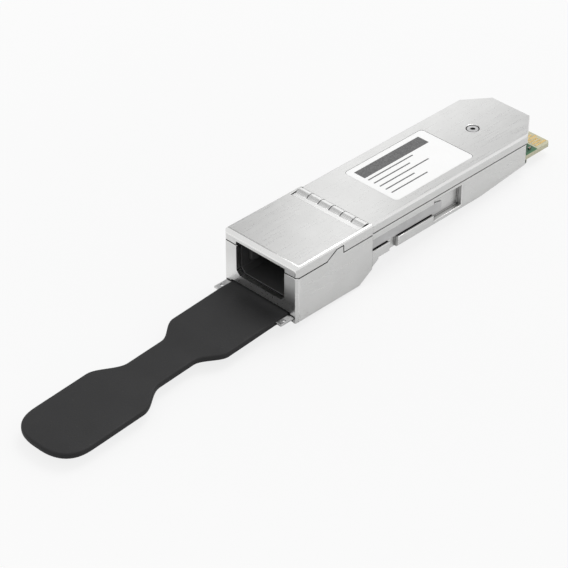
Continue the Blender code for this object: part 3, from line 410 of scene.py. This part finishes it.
def metal_material(name, dark, light, roughness, draw_scale, grain_depth, front_matt=0.0):
    """Clouded metal with drawn lines and a fine grain, painted shade in recesses and seams, and a matt
    front rubbed low down.
    """
    shader = Shader(name, dark, roughness, metallic=1.0)
    cloud = shader.noise(scale=260.0, detail=3.0)
    grain = shader.noise(scale=5200.0)
    lines = shader.streaks(draw_scale, detail=3.0)
    tone = shader.blend(shader.spread(cloud, CLOUD_SPAN), dark, light)
    # Painted shade, from how closed in each point is: darker in recesses, near black in seams between
    # pieces
    painted_recess_shade = tuple(RECESS_SHADE_SHARE * value for value in dark)
    painted_seam_shade = tuple(SEAM_SHADE_SHARE * value for value in dark)
    recess_shade_mask = shader.spread(shader.openness(RECESS_REACH, same_piece=True), RECESS_SPAN)
    # Painted shade in seams between pieces, darkest where a neighbour is closest
    seam_shade_mask = shader.spread(shader.openness(SEAM_REACH, same_piece=False), SEAM_SPAN)
    shader.colour(shader.blend(seam_shade_mask, painted_seam_shade, shader.blend(recess_shade_mask, painted_recess_shade, tone)))
    satin_range = (roughness - SATIN_SPREAD, roughness + SATIN_SPREAD)
    satin = shader.spread(shader.combine("MULTIPLY", grain, lines), SATIN_SPAN, satin_range)
    front = shader.spread(shader.axis(shader.normal, "Y"), FRONT_SPAN, FALLING)
    matt = shader.spread(shader.axis(shader.place, "Z"), RUBBED_Z, (0.0, front_matt))
    shader.roughness(shader.combine("ADD", satin, shader.combine("MULTIPLY", front, matt)))
    drawn = shader.bump(lines, depth=LINE_DEPTH, strength=0.5)
    shader.bump(grain, depth=grain_depth, strength=0.5, under=drawn)
    return shader.material


def tab_material():
    """Dark moulded elastomer: fine spark-eroded grain and a little dust."""
    dark = (0.0105, 0.0105, 0.0112)
    light = (0.0155, 0.0155, 0.0162)
    dusty = (0.05, 0.05, 0.05)
    shader = Shader("tab_elastomer", (0.05, 0.05, 0.052), roughness=0.62, Specular_IOR_Level=0.35)
    cloud = shader.noise(scale=180.0, detail=3.0)
    grain = shader.noise(scale=4200.0, detail=3.0)
    pores = shader.cells(scale=2600.0)
    dust = shader.spread(shader.noise(scale=2300.0, detail=4.0), span=(0.68, 0.8), result=(0.0, 0.5))
    tone = shader.blend(shader.spread(cloud, MIDDLE_SPAN), dark, light)
    shader.colour(shader.blend(dust, tone, dusty))
    shader.roughness(shader.spread(cloud, MIDDLE_SPAN, result=(0.52, 0.68)))
    coarse = shader.bump(pores, depth=0.02 * MM, strength=0.35)
    shader.bump(grain, depth=0.02 * MM, strength=0.5, under=coarse)
    return shader.material


def plastic_material(name, dark, light, roughness, grain_scale):
    """Moulded plastic with a fine matt texture."""
    gloss_spread = 0.07
    shader = Shader(name, dark, roughness)
    cloud = shader.noise(scale=500.0)
    grain = shader.noise(grain_scale)
    shader.colour(shader.blend(cloud, dark, light))
    gloss_range = (roughness - gloss_spread, roughness + gloss_spread)
    shader.roughness(shader.spread(cloud, MIDDLE_SPAN, gloss_range))
    shader.bump(grain, depth=0.01 * MM, strength=0.5)
    return shader.material


def label_material():
    """White coated film with a faint fibre and slightly uneven gloss."""
    dark = (0.93, 0.93, 0.925)
    light = (0.965, 0.965, 0.963)
    shader = Shader("label_film", (0.93, 0.93, 0.93), roughness=0.45)
    cloud = shader.noise(scale=300.0)
    fibre = shader.streaks(scale=(5000.0, 1200.0, 5000.0), detail=3.0)
    shader.colour(shader.blend(cloud, dark, light))
    shader.roughness(shader.spread(fibre, MIDDLE_SPAN, result=(0.38, 0.55)))
    shader.bump(fibre, depth=0.003 * MM, strength=0.4)
    return shader.material


def ink_material():
    """Thermal-transfer ink: dense grey-black with slight mottling."""
    dark = (0.07, 0.07, 0.071)
    light = (0.18, 0.18, 0.18)
    shader = Shader("label_ink", (0.1, 0.1, 0.1), roughness=0.4)
    mottle = shader.noise(scale=3500.0, detail=3.0)
    shader.colour(shader.blend(shader.spread(mottle, span=(0.35, 0.75)), dark, light))
    shader.roughness(shader.spread(mottle, MIDDLE_SPAN, result=(0.3, 0.5)))
    return shader.material


def board_material():
    """Green solder mask over copper tracks; bare pale laminate on the edges and among the contacts."""
    dark = (0.012, 0.085, 0.035)
    light = (0.03, 0.16, 0.06)
    green = (0.03, 0.16, 0.07)
    shader = Shader("board_laminate", green, roughness=0.35, Coat_Weight=0.3, Coat_Roughness=0.15)
    track = shader.spread(shader.streaks(scale=(2600.0, 140.0, 900.0), detail=0.0), span=(0.5, 0.54))
    weave = shader.cells(scale=2200.0)
    mask = shader.blend(track, dark, light)
    laminate = shader.blend(weave, BARE_LAMINATE_DARK, BARE_LAMINATE)
    upward = shader.axis(shader.normal, "Z")
    level = shader.combine("MULTIPLY", upward, upward)
    on_edge = shader.spread(level, span=(0.1, 0.3), result=FALLING)
    behind_mask = shader.spread(shader.axis(shader.place, "Y"), span=(MASK_END_Y, MASK_END_Y + MASK_FADE))
    bare = shader.combine("MAXIMUM", behind_mask, on_edge)
    shader.colour(shader.blend(bare, mask, laminate))
    shader.roughness(shader.spread(weave, span=(0.0, 0.6), result=(0.3, 0.42)))
    fine = shader.bump(weave, depth=0.004 * MM, strength=0.4)
    shader.bump(track, depth=0.02 * MM, strength=0.7, under=fine)
    return shader.material


def gold_material():
    """Hard gold plate with faint wiping marks."""
    dark = (0.8, 0.56, 0.22)
    light = (0.92, 0.7, 0.34)
    shader = Shader("gold_plate", (0.86, 0.63, 0.27), roughness=0.26, metallic=1.0)
    wiped = shader.streaks(scale=(7000.0, 500.0, 7000.0), detail=2.0)
    shader.colour(shader.blend(wiped, dark, light))
    shader.roughness(shader.spread(wiped, MIDDLE_SPAN, result=(0.2, 0.36)))
    shader.bump(wiped, depth=0.002 * MM, strength=0.4)
    return shader.material


def lens_material():
    """Amber optical resin, smooth and partly clear."""
    dark = (0.52, 0.3, 0.07)
    light = (0.68, 0.44, 0.16)
    shader = Shader("lens_resin", (0.6, 0.36, 0.1), roughness=0.12, Transmission_Weight=0.5, IOR=1.6)
    flow = shader.noise(scale=350.0)
    shader.colour(shader.blend(flow, dark, light))
    shader.roughness(shader.spread(flow, MIDDLE_SPAN, result=(0.06, 0.18)))
    return shader.material


def rubber_material(name, dark, light):
    """Filled silicone: chalky, with visible grains of filler."""
    shader = Shader(name, dark, roughness=0.75)
    filler = shader.noise(scale=3800.0, detail=3.0)
    shader.colour(shader.blend(shader.spread(filler, CLOUD_SPAN), dark, light))
    shader.roughness(shader.spread(filler, MIDDLE_SPAN, result=(0.68, 0.85)))
    shader.bump(filler, depth=0.02 * MM, strength=0.6)
    return shader.material


def make_metals():
    """The metals by slot: darker and lighter tone, then the finish."""
    return {
        "shell": metal_material(
            "plated_casting", (0.735, 0.735, 0.728), (0.755, 0.755, 0.748),
            roughness=0.31, draw_scale=CAST_LINES, grain_depth=0.009 * MM, front_matt=0.25),
        # Lighter metal on the shell's eased edges: a painted highlight
        "shell_edge": metal_material(
            "casting_edge_highlight", (0.81, 0.81, 0.802), (0.85, 0.85, 0.842),
            roughness=0.24, draw_scale=CAST_LINES, grain_depth=0.004 * MM),
        "steel": metal_material(
            "rolled_steel", (0.54, 0.54, 0.543), (0.62, 0.62, 0.62),
            roughness=0.34, draw_scale=ROLLED_LINES, grain_depth=0.002 * MM),
        "finger": metal_material(
            "tinned_spring", (0.84, 0.84, 0.835), (0.9, 0.9, 0.892),
            roughness=0.26, draw_scale=ROLLED_LINES, grain_depth=0.001 * MM),
        "gold": gold_material(),
    }


def make_plastics():
    """The plain moulded and fired materials by slot: two tones, roughness and scale of the grain."""
    kinds = {
        "port": ("port_plastic", (0.06, 0.06, 0.061), (0.076, 0.076, 0.077), 0.5, 6000.0),
        "ferrule": ("ferrule_plastic", (0.028, 0.028, 0.032), (0.045, 0.045, 0.05), 0.4, 9000.0),
        "chip": ("chip_package", (0.02, 0.02, 0.022), (0.035, 0.035, 0.036), 0.5, 7000.0),
        "ribbon": ("ribbon_coating", (0.28, 0.55, 0.6), (0.4, 0.68, 0.72), 0.3, 5000.0),
        "glass": ("fibre_glass", (0.75, 0.8, 0.82), (0.88, 0.92, 0.94), 0.12, 9000.0),
        "ceramic": ("capacitor_ceramic", (0.3, 0.2, 0.12), (0.4, 0.28, 0.18), 0.4, 8000.0),
    }
    return {slot: plastic_material(*kind) for slot, kind in kinds.items()}


def make_materials():
    return {
        **make_metals(),
        **make_plastics(),
        "tab": tab_material(),
        "label": label_material(),
        "ink": ink_material(),
        "board": board_material(),
        "lens": lens_material(),
        "pad": rubber_material("pad_silicone", (0.36, 0.44, 0.52), (0.5, 0.58, 0.64)),
        "gasket": rubber_material("gasket_elastomer", (0.13, 0.13, 0.14), (0.24, 0.24, 0.25)),
    }


# Mesh helpers

def new_piece(name, builder, material, body):
    mesh = bpy.data.meshes.new(name)
    builder.to_mesh(mesh)
    builder.free()
    piece = bpy.data.objects.new(name, mesh)
    bpy.context.scene.collection.objects.link(piece)
    mesh.materials.append(material)
    mesh.shade_smooth()
    mesh.set_sharp_from_angle(angle=SMOOTH_ANGLE)
    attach(piece, body)
    return piece


def clean_copy(node):
    """The node's mesh with its shared points joined and its flat faces whole."""
    builder = bmesh.new()
    builder.from_mesh(node.data)
    bmesh.ops.remove_doubles(builder, verts=builder.verts, dist=MERGE_DISTANCE)
    bmesh.ops.dissolve_limit(builder, angle_limit=FLAT_ANGLE, verts=builder.verts, edges=builder.edges)
    bmesh.ops.dissolve_degenerate(builder, dist=MERGE_DISTANCE, edges=builder.edges)
    bmesh.ops.recalc_face_normals(builder, faces=builder.faces)
    return builder


def point_to_edge(point, edge):
    start, end = (vertex.co for vertex in edge.verts)
    along = end - start
    share = min(max((point - start).dot(along) / along.length_squared, 0.0), 1.0)
    return (point - start - along * share).length


def clear_distance(first, second):
    """Distance between two edges of one face that share no point."""
    spans = [point_to_edge(vertex.co, second) for vertex in first.verts]
    spans += [point_to_edge(vertex.co, first) for vertex in second.verts]
    return min(spans)


def room_beside(edge, other, eased):
    """The widest rounding of an edge that another edge of the same face leaves room for."""
    shared = set(edge.verts) & set(other.verts)
    if not shared:
        return clear_distance(edge, other) * (SHARED_ROOM if other in eased else WHOLE_ROOM)
    corner = shared.pop()
    first = edge.other_vert(corner).co - corner.co
    second = other.other_vert(corner).co - corner.co
    angle = first.angle(second)
    if other in eased:
        return SHARED_ROOM * second.length * math.tan(min(angle, WIDEST_CORNER) / 2)
    return SHARED_ROOM * second.length * math.sin(angle)


def edge_room(edge, eased):
    """The widest rounding that the faces beside an edge can carry."""
    others = [other for face in edge.link_faces for other in face.edges if other is not edge]
    return SAFE_ROOM * min(room_beside(edge, other, eased) for other in others)


def in_rim(edge, rim):
    half_width, depth = rim
    return all(abs(vertex.co.x) < half_width and vertex.co.y < FRONT_Y + depth for vertex in edge.verts)


def ease_edges(builder, width, rim):
    """Mark the edges to be rounded: those whose faces can carry the width, but none in a rim."""
    weight = builder.edges.layers.float.new("bevel_weight_edge")
    eased = set()
    for edge in builder.edges:
        sharp = len(edge.link_faces) == 2 and edge.calc_face_angle(0.0) > EDGE_ANGLE
        if sharp and not (rim and in_rim(edge, rim)):
            eased.add(edge)
    tight = {edge for edge in eased if edge_room(edge, eased) < width}
    while tight:
        eased -= tight
        tight = {edge for edge in eased if edge_room(edge, eased) < width}
    for edge in eased:
        edge[weight] = 1.0


def dress_node(frame, name, width, materials, slot, segments=EDGE_SEGMENTS):
    """A copy of a CAD node with eased edges, which are of a brighter metal on the shell as a painted
    highlight.
    """
    builder = clean_copy(frame["nodes"][name])
    ease_edges(builder, width, CRISP_RIM.get(name))
    body = frame["nodes"][name]["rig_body"]
    piece = new_piece(f"{name}_dressed", builder, materials[slot], body)
    piece.data.materials.append(materials.get(f"{slot}_edge", materials[slot]))
    rounding = piece.modifiers.new("eased_edges", "BEVEL")
    rounding.limit_method = "WEIGHT"
    rounding.width = width
    rounding.segments = segments
    rounding.use_clamp_overlap = False
    rounding.material = 1
    normals = piece.modifiers.new("flat_faces", "WEIGHTED_NORMAL")
    normals.keep_sharp = True
    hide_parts(name)
    return piece


def add_box(builder, low, high, material_index=0):
    made = bmesh.ops.create_cube(builder, size=1.0)
    for vertex in made["verts"]:
        for axis in range(3):
            vertex.co[axis] = high[axis] if vertex.co[axis] > 0 else low[axis]
    for face in {face for vertex in made["verts"] for face in vertex.link_faces}:
        face.material_index = material_index


def bridge_rings(builder, rings):
    """Bands of faces between rings of as many points each."""
    count = len(rings[0])
    for first, second in zip(rings, rings[1:]):
        for i in range(count):
            j = (i + 1) % count
            builder.faces.new((first[i], first[j], second[j], second[i]))


def close_ends(builder, rings):
    for ring in (rings[0], rings[-1]):
        builder.faces.new(ring)


def place_in_row(index, count, pitch):
    """The place of one piece in a row that is even about the middle."""
    return (index - (count - 1) / 2) * pitch


# Pull tab

def smooth_step(share):
    share = min(max(share, 0.0), 1.0)
    return share * share * (3 - 2 * share)


def tab_half_width(y):
    into_waist = smooth_step((TAB_TAPER_IN[0] - y) / (TAB_TAPER_IN[0] - TAB_TAPER_IN[1]))
    into_paddle = smooth_step((TAB_TAPER_OUT[0] - y) / (TAB_TAPER_OUT[0] - TAB_TAPER_OUT[1]))
    half = TAB_ROOT_HALF + (TAB_WAIST_HALF - TAB_ROOT_HALF) * into_waist
    half += (TAB_PADDLE_HALF - TAB_WAIST_HALF) * into_paddle
    if y < TAB_END_ROUND:
        share = (TAB_END_ROUND - y) / (TAB_END_ROUND - TAB_TIP)
        half *= max(1 - share ** TAB_END_POWER, 0.0) ** (1 / TAB_END_POWER)
    return half


def tab_stations():
    """Places along the tab, closer together towards its tip."""
    straight = [step / TAB_STRAIGHT_STEPS for step in range(TAB_STRAIGHT_STEPS)]
    rounded = [math.sin(math.pi / 2 * step / TAB_ROUND_STEPS) for step in range(TAB_ROUND_STEPS)]
    stations = [TAB_REAR + (TAB_END_ROUND - TAB_REAR) * share for share in straight]
    return stations + [TAB_END_ROUND + (TAB_TIP - TAB_END_ROUND) * share for share in rounded]


def tab_ring(inset, lift):
    """One level of the tab's rim: its outline drawn in by the inset, on the drooping surface."""
    right = [Vector((tab_half_width(y), y)) for y in tab_stations()]
    left = [Vector((-point.x, point.y)) for point in reversed(right)]
    outline = right + left
    ring = []
    for index, point in enumerate(outline):
        along = outline[(index + 1) % len(outline)] - outline[index - 1]
        outward = Vector((-along.y, along.x)).normalized()
        x, y = point - outward * inset
        droop = TAB_DROOP_SLOPE * min(y - TAB_DROOP_START, 0.0)
        ring.append(Vector((x, FRONT_Y + y, TAB_TOP + droop + lift)))
    return ring


def tab_levels():
    """Insets and lifts of the rings that round the tab's edge, from its top face to its bottom face."""
    upper = []
    for step in range(TAB_EDGE_STEPS + 1):
        angle = math.pi / 2 * step / TAB_EDGE_STEPS
        upper.append((TAB_EDGE_RADIUS * (1 - math.sin(angle)), TAB_EDGE_RADIUS * (math.cos(angle) - 1)))
    return upper + [(inset, -TAB_THICKNESS - lift) for inset, lift in reversed(upper)]


def make_pull_tab(materials):
    """A strap with fully rounded edges, slit at its root for the yoke's plate."""
    builder = bmesh.new()
    rings = [[builder.verts.new(point) for point in tab_ring(*level)] for level in tab_levels()]
    bridge_rings(builder, rings)
    count = len(rings[0])
    for ring in (rings[0], rings[-1]):
        for i in range(count // 2 - 1):
            builder.faces.new((ring[i], ring[i + 1], ring[count - 2 - i], ring[count - 1 - i]))
    bmesh.ops.recalc_face_normals(builder, faces=builder.faces)
    tab = new_piece("pull_tab_moulded", builder, materials["tab"], "release")
    cut_slit(tab)
    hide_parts("pull_tab")


def cut_slit(tab):
    builder = bmesh.new()
    reach = 2 * TAB_ROOT_HALF
    low = (-reach, FRONT_Y + TAB_SLIT_FRONT, TAB_SLIT_Z[0])
    high = (reach, FRONT_Y + 2 * TAB_REAR, TAB_SLIT_Z[1])
    add_box(builder, low, high)
    mesh = bpy.data.meshes.new("tab_slit")
    builder.to_mesh(mesh)
    builder.free()
    tool = bpy.data.objects.new("tab_slit", mesh)
    bpy.context.scene.collection.objects.link(tool)
    cut = tab.modifiers.new("slit", "BOOLEAN")
    cut.operation = "DIFFERENCE"
    cut.solver = "EXACT"
    cut.object = tool
    bpy.context.view_layer.update()
    shown = tab.evaluated_get(bpy.context.evaluated_depsgraph_get())
    whole = bpy.data.meshes.new_from_object(shown)
    tab.modifiers.clear()
    tab.data = whole
    bpy.data.objects.remove(tool, do_unlink=True)


# Springs and fibres

def make_spring(name, side, materials):
    """A helix of round wire, wound at its rest length; the real spring shortens as the release is pulled.
    """
    start = SPRING_SPAN[0] + SPRING_WIRE_RADIUS
    length = SPRING_SPAN[1] - SPRING_SPAN[0] - 2 * SPRING_WIRE_RADIUS
    count = SPRING_TURNS * SPRING_TURN_POINTS
    builder = bmesh.new()
    rings = []
    for index in range(count + 1):
        turn = 2 * math.pi * index / SPRING_TURN_POINTS
        radial = Vector((math.cos(turn), 0.0, math.sin(turn)))
        middle = Vector((side * SPRING_X, start + length * index / count, SPRING_Z))
        centre = middle + radial * SPRING_COIL_RADIUS
        ring = []
        for step in range(SPRING_WIRE_SIDES):
            angle = 2 * math.pi * step / SPRING_WIRE_SIDES
            offset = radial * math.cos(angle) + Vector((0.0, math.sin(angle), 0.0))
            ring.append(builder.verts.new(centre + offset * SPRING_WIRE_RADIUS))
        rings.append(ring)
    bridge_rings(builder, rings)
    close_ends(builder, rings)
    bmesh.ops.recalc_face_normals(builder, faces=builder.faces)
    spring = new_piece(f"{name}_wound", builder, materials["steel"], "module")
    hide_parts(name)
    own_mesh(spring)


def ribbon_section():
    """The ribbon's section about its middle, with a ripple over each fibre."""
    upper = []
    for fibre in range(FIBRES):
        centre = place_in_row(fibre, FIBRES, FIBRE_PITCH)
        for share in RIPPLE_PLACES:
            height = RIBBON_HALF_HEIGHT * (RIBBON_LEVEL + RIBBON_RIPPLE * math.cos(2 * math.pi * share))
            upper.append((centre + share * FIBRE_PITCH, height))
    return upper + [(x, -height) for x, height in reversed(upper)]


def make_fibre_ribbon(materials):
    """Coated fibres bonded side by side, climbing in one bend to the lens block."""
    builder = bmesh.new()
    lift_length = RIBBON_LIFT[1] - RIBBON_LIFT[0]
    section = ribbon_section()
    rings = []
    for step in range(RIBBON_STEPS + 1):
        y = RIBBON_START + (RIBBON_END - RIBBON_START) * step / RIBBON_STEPS
        climbed = smooth_step((y - RIBBON_LIFT[0]) / lift_length)
        middle = PORT_AXIS_Z + (RIBBON_LENS_Z - PORT_AXIS_Z) * climbed
        rings.append([builder.verts.new((x, FRONT_Y + y, middle + z)) for x, z in section])
    bridge_rings(builder, rings)
    close_ends(builder, rings)
    bmesh.ops.recalc_face_normals(builder, faces=builder.faces)
    ribbon = new_piece("fibre_ribbon_bonded", builder, materials["ribbon"], "module")
    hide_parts("fibre_ribbon")


def make_fibre_ends(materials):
    """Polished fibre ends, a hair proud of the ferrule's face."""
    builder = bmesh.new()
    middle_y = FRONT_Y + FERRULE_FRONT - FIBRE_END_DEPTH / 2
    for fibre in range(FIBRES):
        x = place_in_row(fibre, FIBRES, FIBRE_PITCH)
        made = bmesh.ops.create_cone(
            builder, cap_ends=True, segments=FIBRE_END_SIDES, depth=FIBRE_END_DEPTH,
            radius1=FIBRE_END_RADIUS, radius2=FIBRE_END_TAPER * FIBRE_END_RADIUS)
        for vertex in made["verts"]:
            across, up, along = vertex.co
            vertex.co = (x + across, middle_y - along, PORT_AXIS_Z + up)
    bmesh.ops.recalc_face_normals(builder, faces=builder.faces)
    new_piece("fibre_ends", builder, materials["glass"], "module")


# Label print, contacts and passives

def make_label_print(materials):
    """One band and a row of even rules on the label."""
    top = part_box("label")[1].z
    marks = [(BAND_X, BAND_Y)]
    for index, length in enumerate(RULE_LENGTHS):
        left = RULE_FIRST_X + index * RULE_PITCH
        marks.append(((left, left + RULE_WIDTH), (BAND_Y[0], BAND_Y[0] + length)))
    builder = bmesh.new()
    for x_span, y_span in marks:
        low = (x_span[0], FRONT_Y + y_span[0], top)
        high = (x_span[1], FRONT_Y + y_span[1], top + PRINT_THICKNESS)
        add_box(builder, low, high)
    new_piece("label_print", builder, materials["ink"], "module")


def make_contacts(materials):
    """Gold fingers on both faces of the board's tail, every third one longer."""
    low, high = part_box("circuit_board")
    faces = {
        "contacts_top": (high.z, high.z + CONTACT_THICKNESS),
        "contacts_under": (low.z - CONTACT_THICKNESS, low.z),
    }
    start, long_end = CONTACT_SPAN
    for name, (under, over) in faces.items():
        builder = bmesh.new()
        for index in range(CONTACTS):
            x = place_in_row(index, CONTACTS, CONTACT_PITCH)
            end = long_end - (CONTACT_SET_BACK if index % CONTACT_LONG_EVERY else 0.0)
            add_box(builder, (x - CONTACT_HALF_WIDTH, start, under), (x + CONTACT_HALF_WIDTH, end, over))
        bmesh.ops.bevel(
            builder, geom=builder.edges, affect="EDGES",
            offset=CONTACT_EDGE, segments=1, clamp_overlap=True)
        new_piece(name, builder, materials["gold"], "module")


def add_passive(builder, x, y, low, high):
    """A capacitor between two heights: two tinned ends and a slimmer body of the second material."""
    width, length = PASSIVE_SIZE[:2]
    left = x - width / 2
    right = x + width / 2
    body_start = y + PASSIVE_END
    body_end = y + length - PASSIVE_END
    body_low = (left + PASSIVE_SLIMMER, body_start, low + PASSIVE_LOWER)
    body_high = (right - PASSIVE_SLIMMER, body_end, high - PASSIVE_LOWER)
    add_box(builder, (left, y, low), (right, body_start, high))
    add_box(builder, body_low, body_high, material_index=1)
    add_box(builder, (left, body_end, low), (right, y + length, high))


def make_passives(materials):
    """Rows of small ceramic capacitors with tinned ends in front of the contacts."""
    low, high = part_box("circuit_board")
    height = PASSIVE_SIZE[2]
    faces = {"passives_top": (high.z, high.z + height), "passives_under": (low.z - height, low.z)}
    for name, (under, over) in faces.items():
        builder = bmesh.new()
        for y in PASSIVE_ROWS:
            for index in range(-PASSIVES_A_SIDE, PASSIVES_A_SIDE + 1):
                add_passive(builder, index * PASSIVE_PITCH, y, under, over)
        piece = new_piece(name, builder, materials["steel"], "module")
        piece.data.materials.append(materials["ceramic"])


# Stage

def share_of_rays(tree, seen, mirrored):
    """The first share for rays of the camera, the second for rays mirrored or let through by the object."""
    path = tree.nodes.new("ShaderNodeLightPath").outputs
    camera = combine(tree, "MULTIPLY", path["Is Camera Ray"], seen)
    glossy = combine(tree, "MULTIPLY", path["Is Glossy Ray"], mirrored)
    through = combine(tree, "MULTIPLY", path["Is Transmission Ray"], mirrored)
    return combine(tree, "MAXIMUM", combine(tree, "MAXIMUM", camera, glossy), through)


def paling(tree, place):
    """A share that rises to 1 away from the object, so that the floor ends as white as the world."""
    distance = tree.nodes.new("ShaderNodeVectorMath")
    distance.operation = "LENGTH"
    tree.links.new(place, distance.inputs[0])
    return spread_over(tree, distance.outputs["Value"], PALING_DISTANCE, PALING_SHARE)


def brighter_left(tree, place):
    """The share of white that the object mirrors from the floor: more on its left than on its right."""
    return spread_over(tree, axis_of(tree, place, "X"), MIRRORED_X, MIRRORED_SHARE)


def bare_material(name):
    """A material that has only its output yet."""
    material = bpy.data.materials.new(name)
    material.use_nodes = True
    material.node_tree.nodes.remove(material.node_tree.nodes["Principled BSDF"])
    return material


def floor_material():
    """Pale paper above and nothing below, so that a view from under the floor isn't blocked."""
    material = bare_material("floor_paper")
    tree = material.node_tree
    geometry = tree.nodes.new("ShaderNodeNewGeometry").outputs
    place = geometry["Position"]
    paper = add_node(tree, "ShaderNodeBsdfDiffuse", Color=FLOOR_GREY).outputs["BSDF"]
    white = add_node(tree, "ShaderNodeEmission", Color=WHITE, Strength=1.0).outputs["Emission"]
    clear = tree.nodes.new("ShaderNodeBsdfTransparent").outputs["BSDF"]
    share = share_of_rays(tree, paling(tree, place), brighter_left(tree, place))
    above = mix_shaders(tree, share, paper, white)
    one_sided = mix_shaders(tree, geometry["Backfacing"], above, clear)
    tree.links.new(one_sided, tree.nodes["Material Output"].inputs["Surface"])
    return material


def card_material(name):
    material = bare_material(name)
    tree = material.node_tree
    grey = add_node(tree, "ShaderNodeEmission", Color=CARD_GREY, Strength=1.0)
    tree.links.new(grey.outputs["Emission"], tree.nodes["Material Output"].inputs["Surface"])
    return material


def new_sheet(name, corners, material):
    mesh = bpy.data.meshes.new(name)
    mesh.from_pydata(corners, [], [(0, 1, 2, 3)])
    mesh.materials.append(material)
    sheet = bpy.data.objects.new(name, mesh)
    bpy.context.scene.collection.objects.link(sheet)
    return sheet


def make_floor():
    """A pale floor under the two lines on which the module rests: the nose's heel and the tail's edge."""
    slope = (0.0 - NOSE_BOTTOM) / (SHELL_END_Y - NOSE_HEEL_Y)
    corners = []
    for x_way, y_way in ((-1, -1), (1, -1), (1, 1), (-1, 1)):
        y = y_way * FLOOR_REACH
        z = NOSE_BOTTOM + slope * (y - NOSE_HEEL_Y) - FLOOR_GAP
        corners.append((x_way * FLOOR_HALF_WIDTH, y, z))
    floor = new_sheet("floor", corners, floor_material())


def make_cards():
    """Grey upright cards to the left, which only the metal's reflections see, for its soft shading."""
    for name, (x, (near, far), (low, high)) in CARDS.items():
        corners = [(x, near, low), (x, far, low), (x, far, high), (x, near, high)]
        card = new_sheet(name, corners, card_material(name))
        card.visible_camera = False
        card.visible_diffuse = False
        card.visible_transmission = False
        card.visible_shadow = False


def make_world():
    """White to the eye and in reflections; as a light, stronger from behind the module than before it."""
    world = bpy.data.worlds.new("studio")
    world.use_nodes = True
    tree = world.node_tree
    tree.nodes.clear()
    direction = tree.nodes.new("ShaderNodeTexCoord").outputs["Generated"]
    light = add_node(tree, "ShaderNodeBackground", Color=WHITE)
    strength = spread_over(tree, axis_of(tree, direction, "Y"), WORLD_Y, WORLD_STRENGTH)
    tree.links.new(strength, light.inputs["Strength"])
    white = add_node(tree, "ShaderNodeBackground", Color=WHITE, Strength=1.0)
    share = share_of_rays(tree, 1.0, 1.0)
    sky = mix_shaders(tree, share, light.outputs["Background"], white.outputs["Background"])
    output = tree.nodes.new("ShaderNodeOutputWorld")
    tree.links.new(sky, output.inputs["Surface"])
    bpy.context.scene.world = world


def make_key_lamp():
    """One round, soft lamp above and behind the module."""
    lamp = bpy.data.lights.new("key", "AREA")
    lamp.shape = "DISK"
    lamp.size = KEY_SIZE
    lamp.energy = KEY_POWER
    light = bpy.data.objects.new("key", lamp)
    light.location = KEY_PLACE
    light.rotation_mode = "QUATERNION"
    light.rotation_quaternion = (KEY_TARGET - KEY_PLACE).to_track_quat("-Z", "Y")
    bpy.context.scene.collection.objects.link(light)


def make_camera():
    level = math.cos(CAMERA_ELEVATION)
    back_x = math.sin(CAMERA_AZIMUTH) * level
    back_y = -math.cos(CAMERA_AZIMUTH) * level
    back = Vector((back_x, back_y, math.sin(CAMERA_ELEVATION)))
    data = bpy.data.cameras.new("camera")
    data.sensor_width = CAMERA_SENSOR
    data.lens = CAMERA_LENS
    data.clip_start, data.clip_end = CAMERA_CLIP
    camera = bpy.data.objects.new("camera", data)
    camera.location = CAMERA_PLACE
    camera.rotation_mode = "QUATERNION"
    camera.rotation_quaternion = (-back).to_track_quat("-Z", "Y")
    bpy.context.scene.collection.objects.link(camera)
    bpy.context.scene.camera = camera


def main():
    for old in list(bpy.data.objects):
        bpy.data.objects.remove(old, do_unlink=True)
    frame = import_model()
    bpy.context.scene.view_settings.view_transform = "Standard"
    make_camera()
    make_world()
    make_key_lamp()
    make_floor()
    make_cards()
    materials = make_materials()
    for name, (width, slot) in EDGES.items():
        dress_node(frame, name, width, materials, slot)
    for name, (width, slot) in SOFT_EDGES.items():
        piece = dress_node(frame, name, width, materials, slot, segments=SOFT_SEGMENTS)
    make_pull_tab(materials)
    make_spring("return_spring_left", -1, materials)
    make_spring("return_spring_right", 1, materials)
    make_fibre_ribbon(materials)
    make_fibre_ends(materials)
    make_label_print(materials)
    make_contacts(materials)
    make_passives(materials)


main()
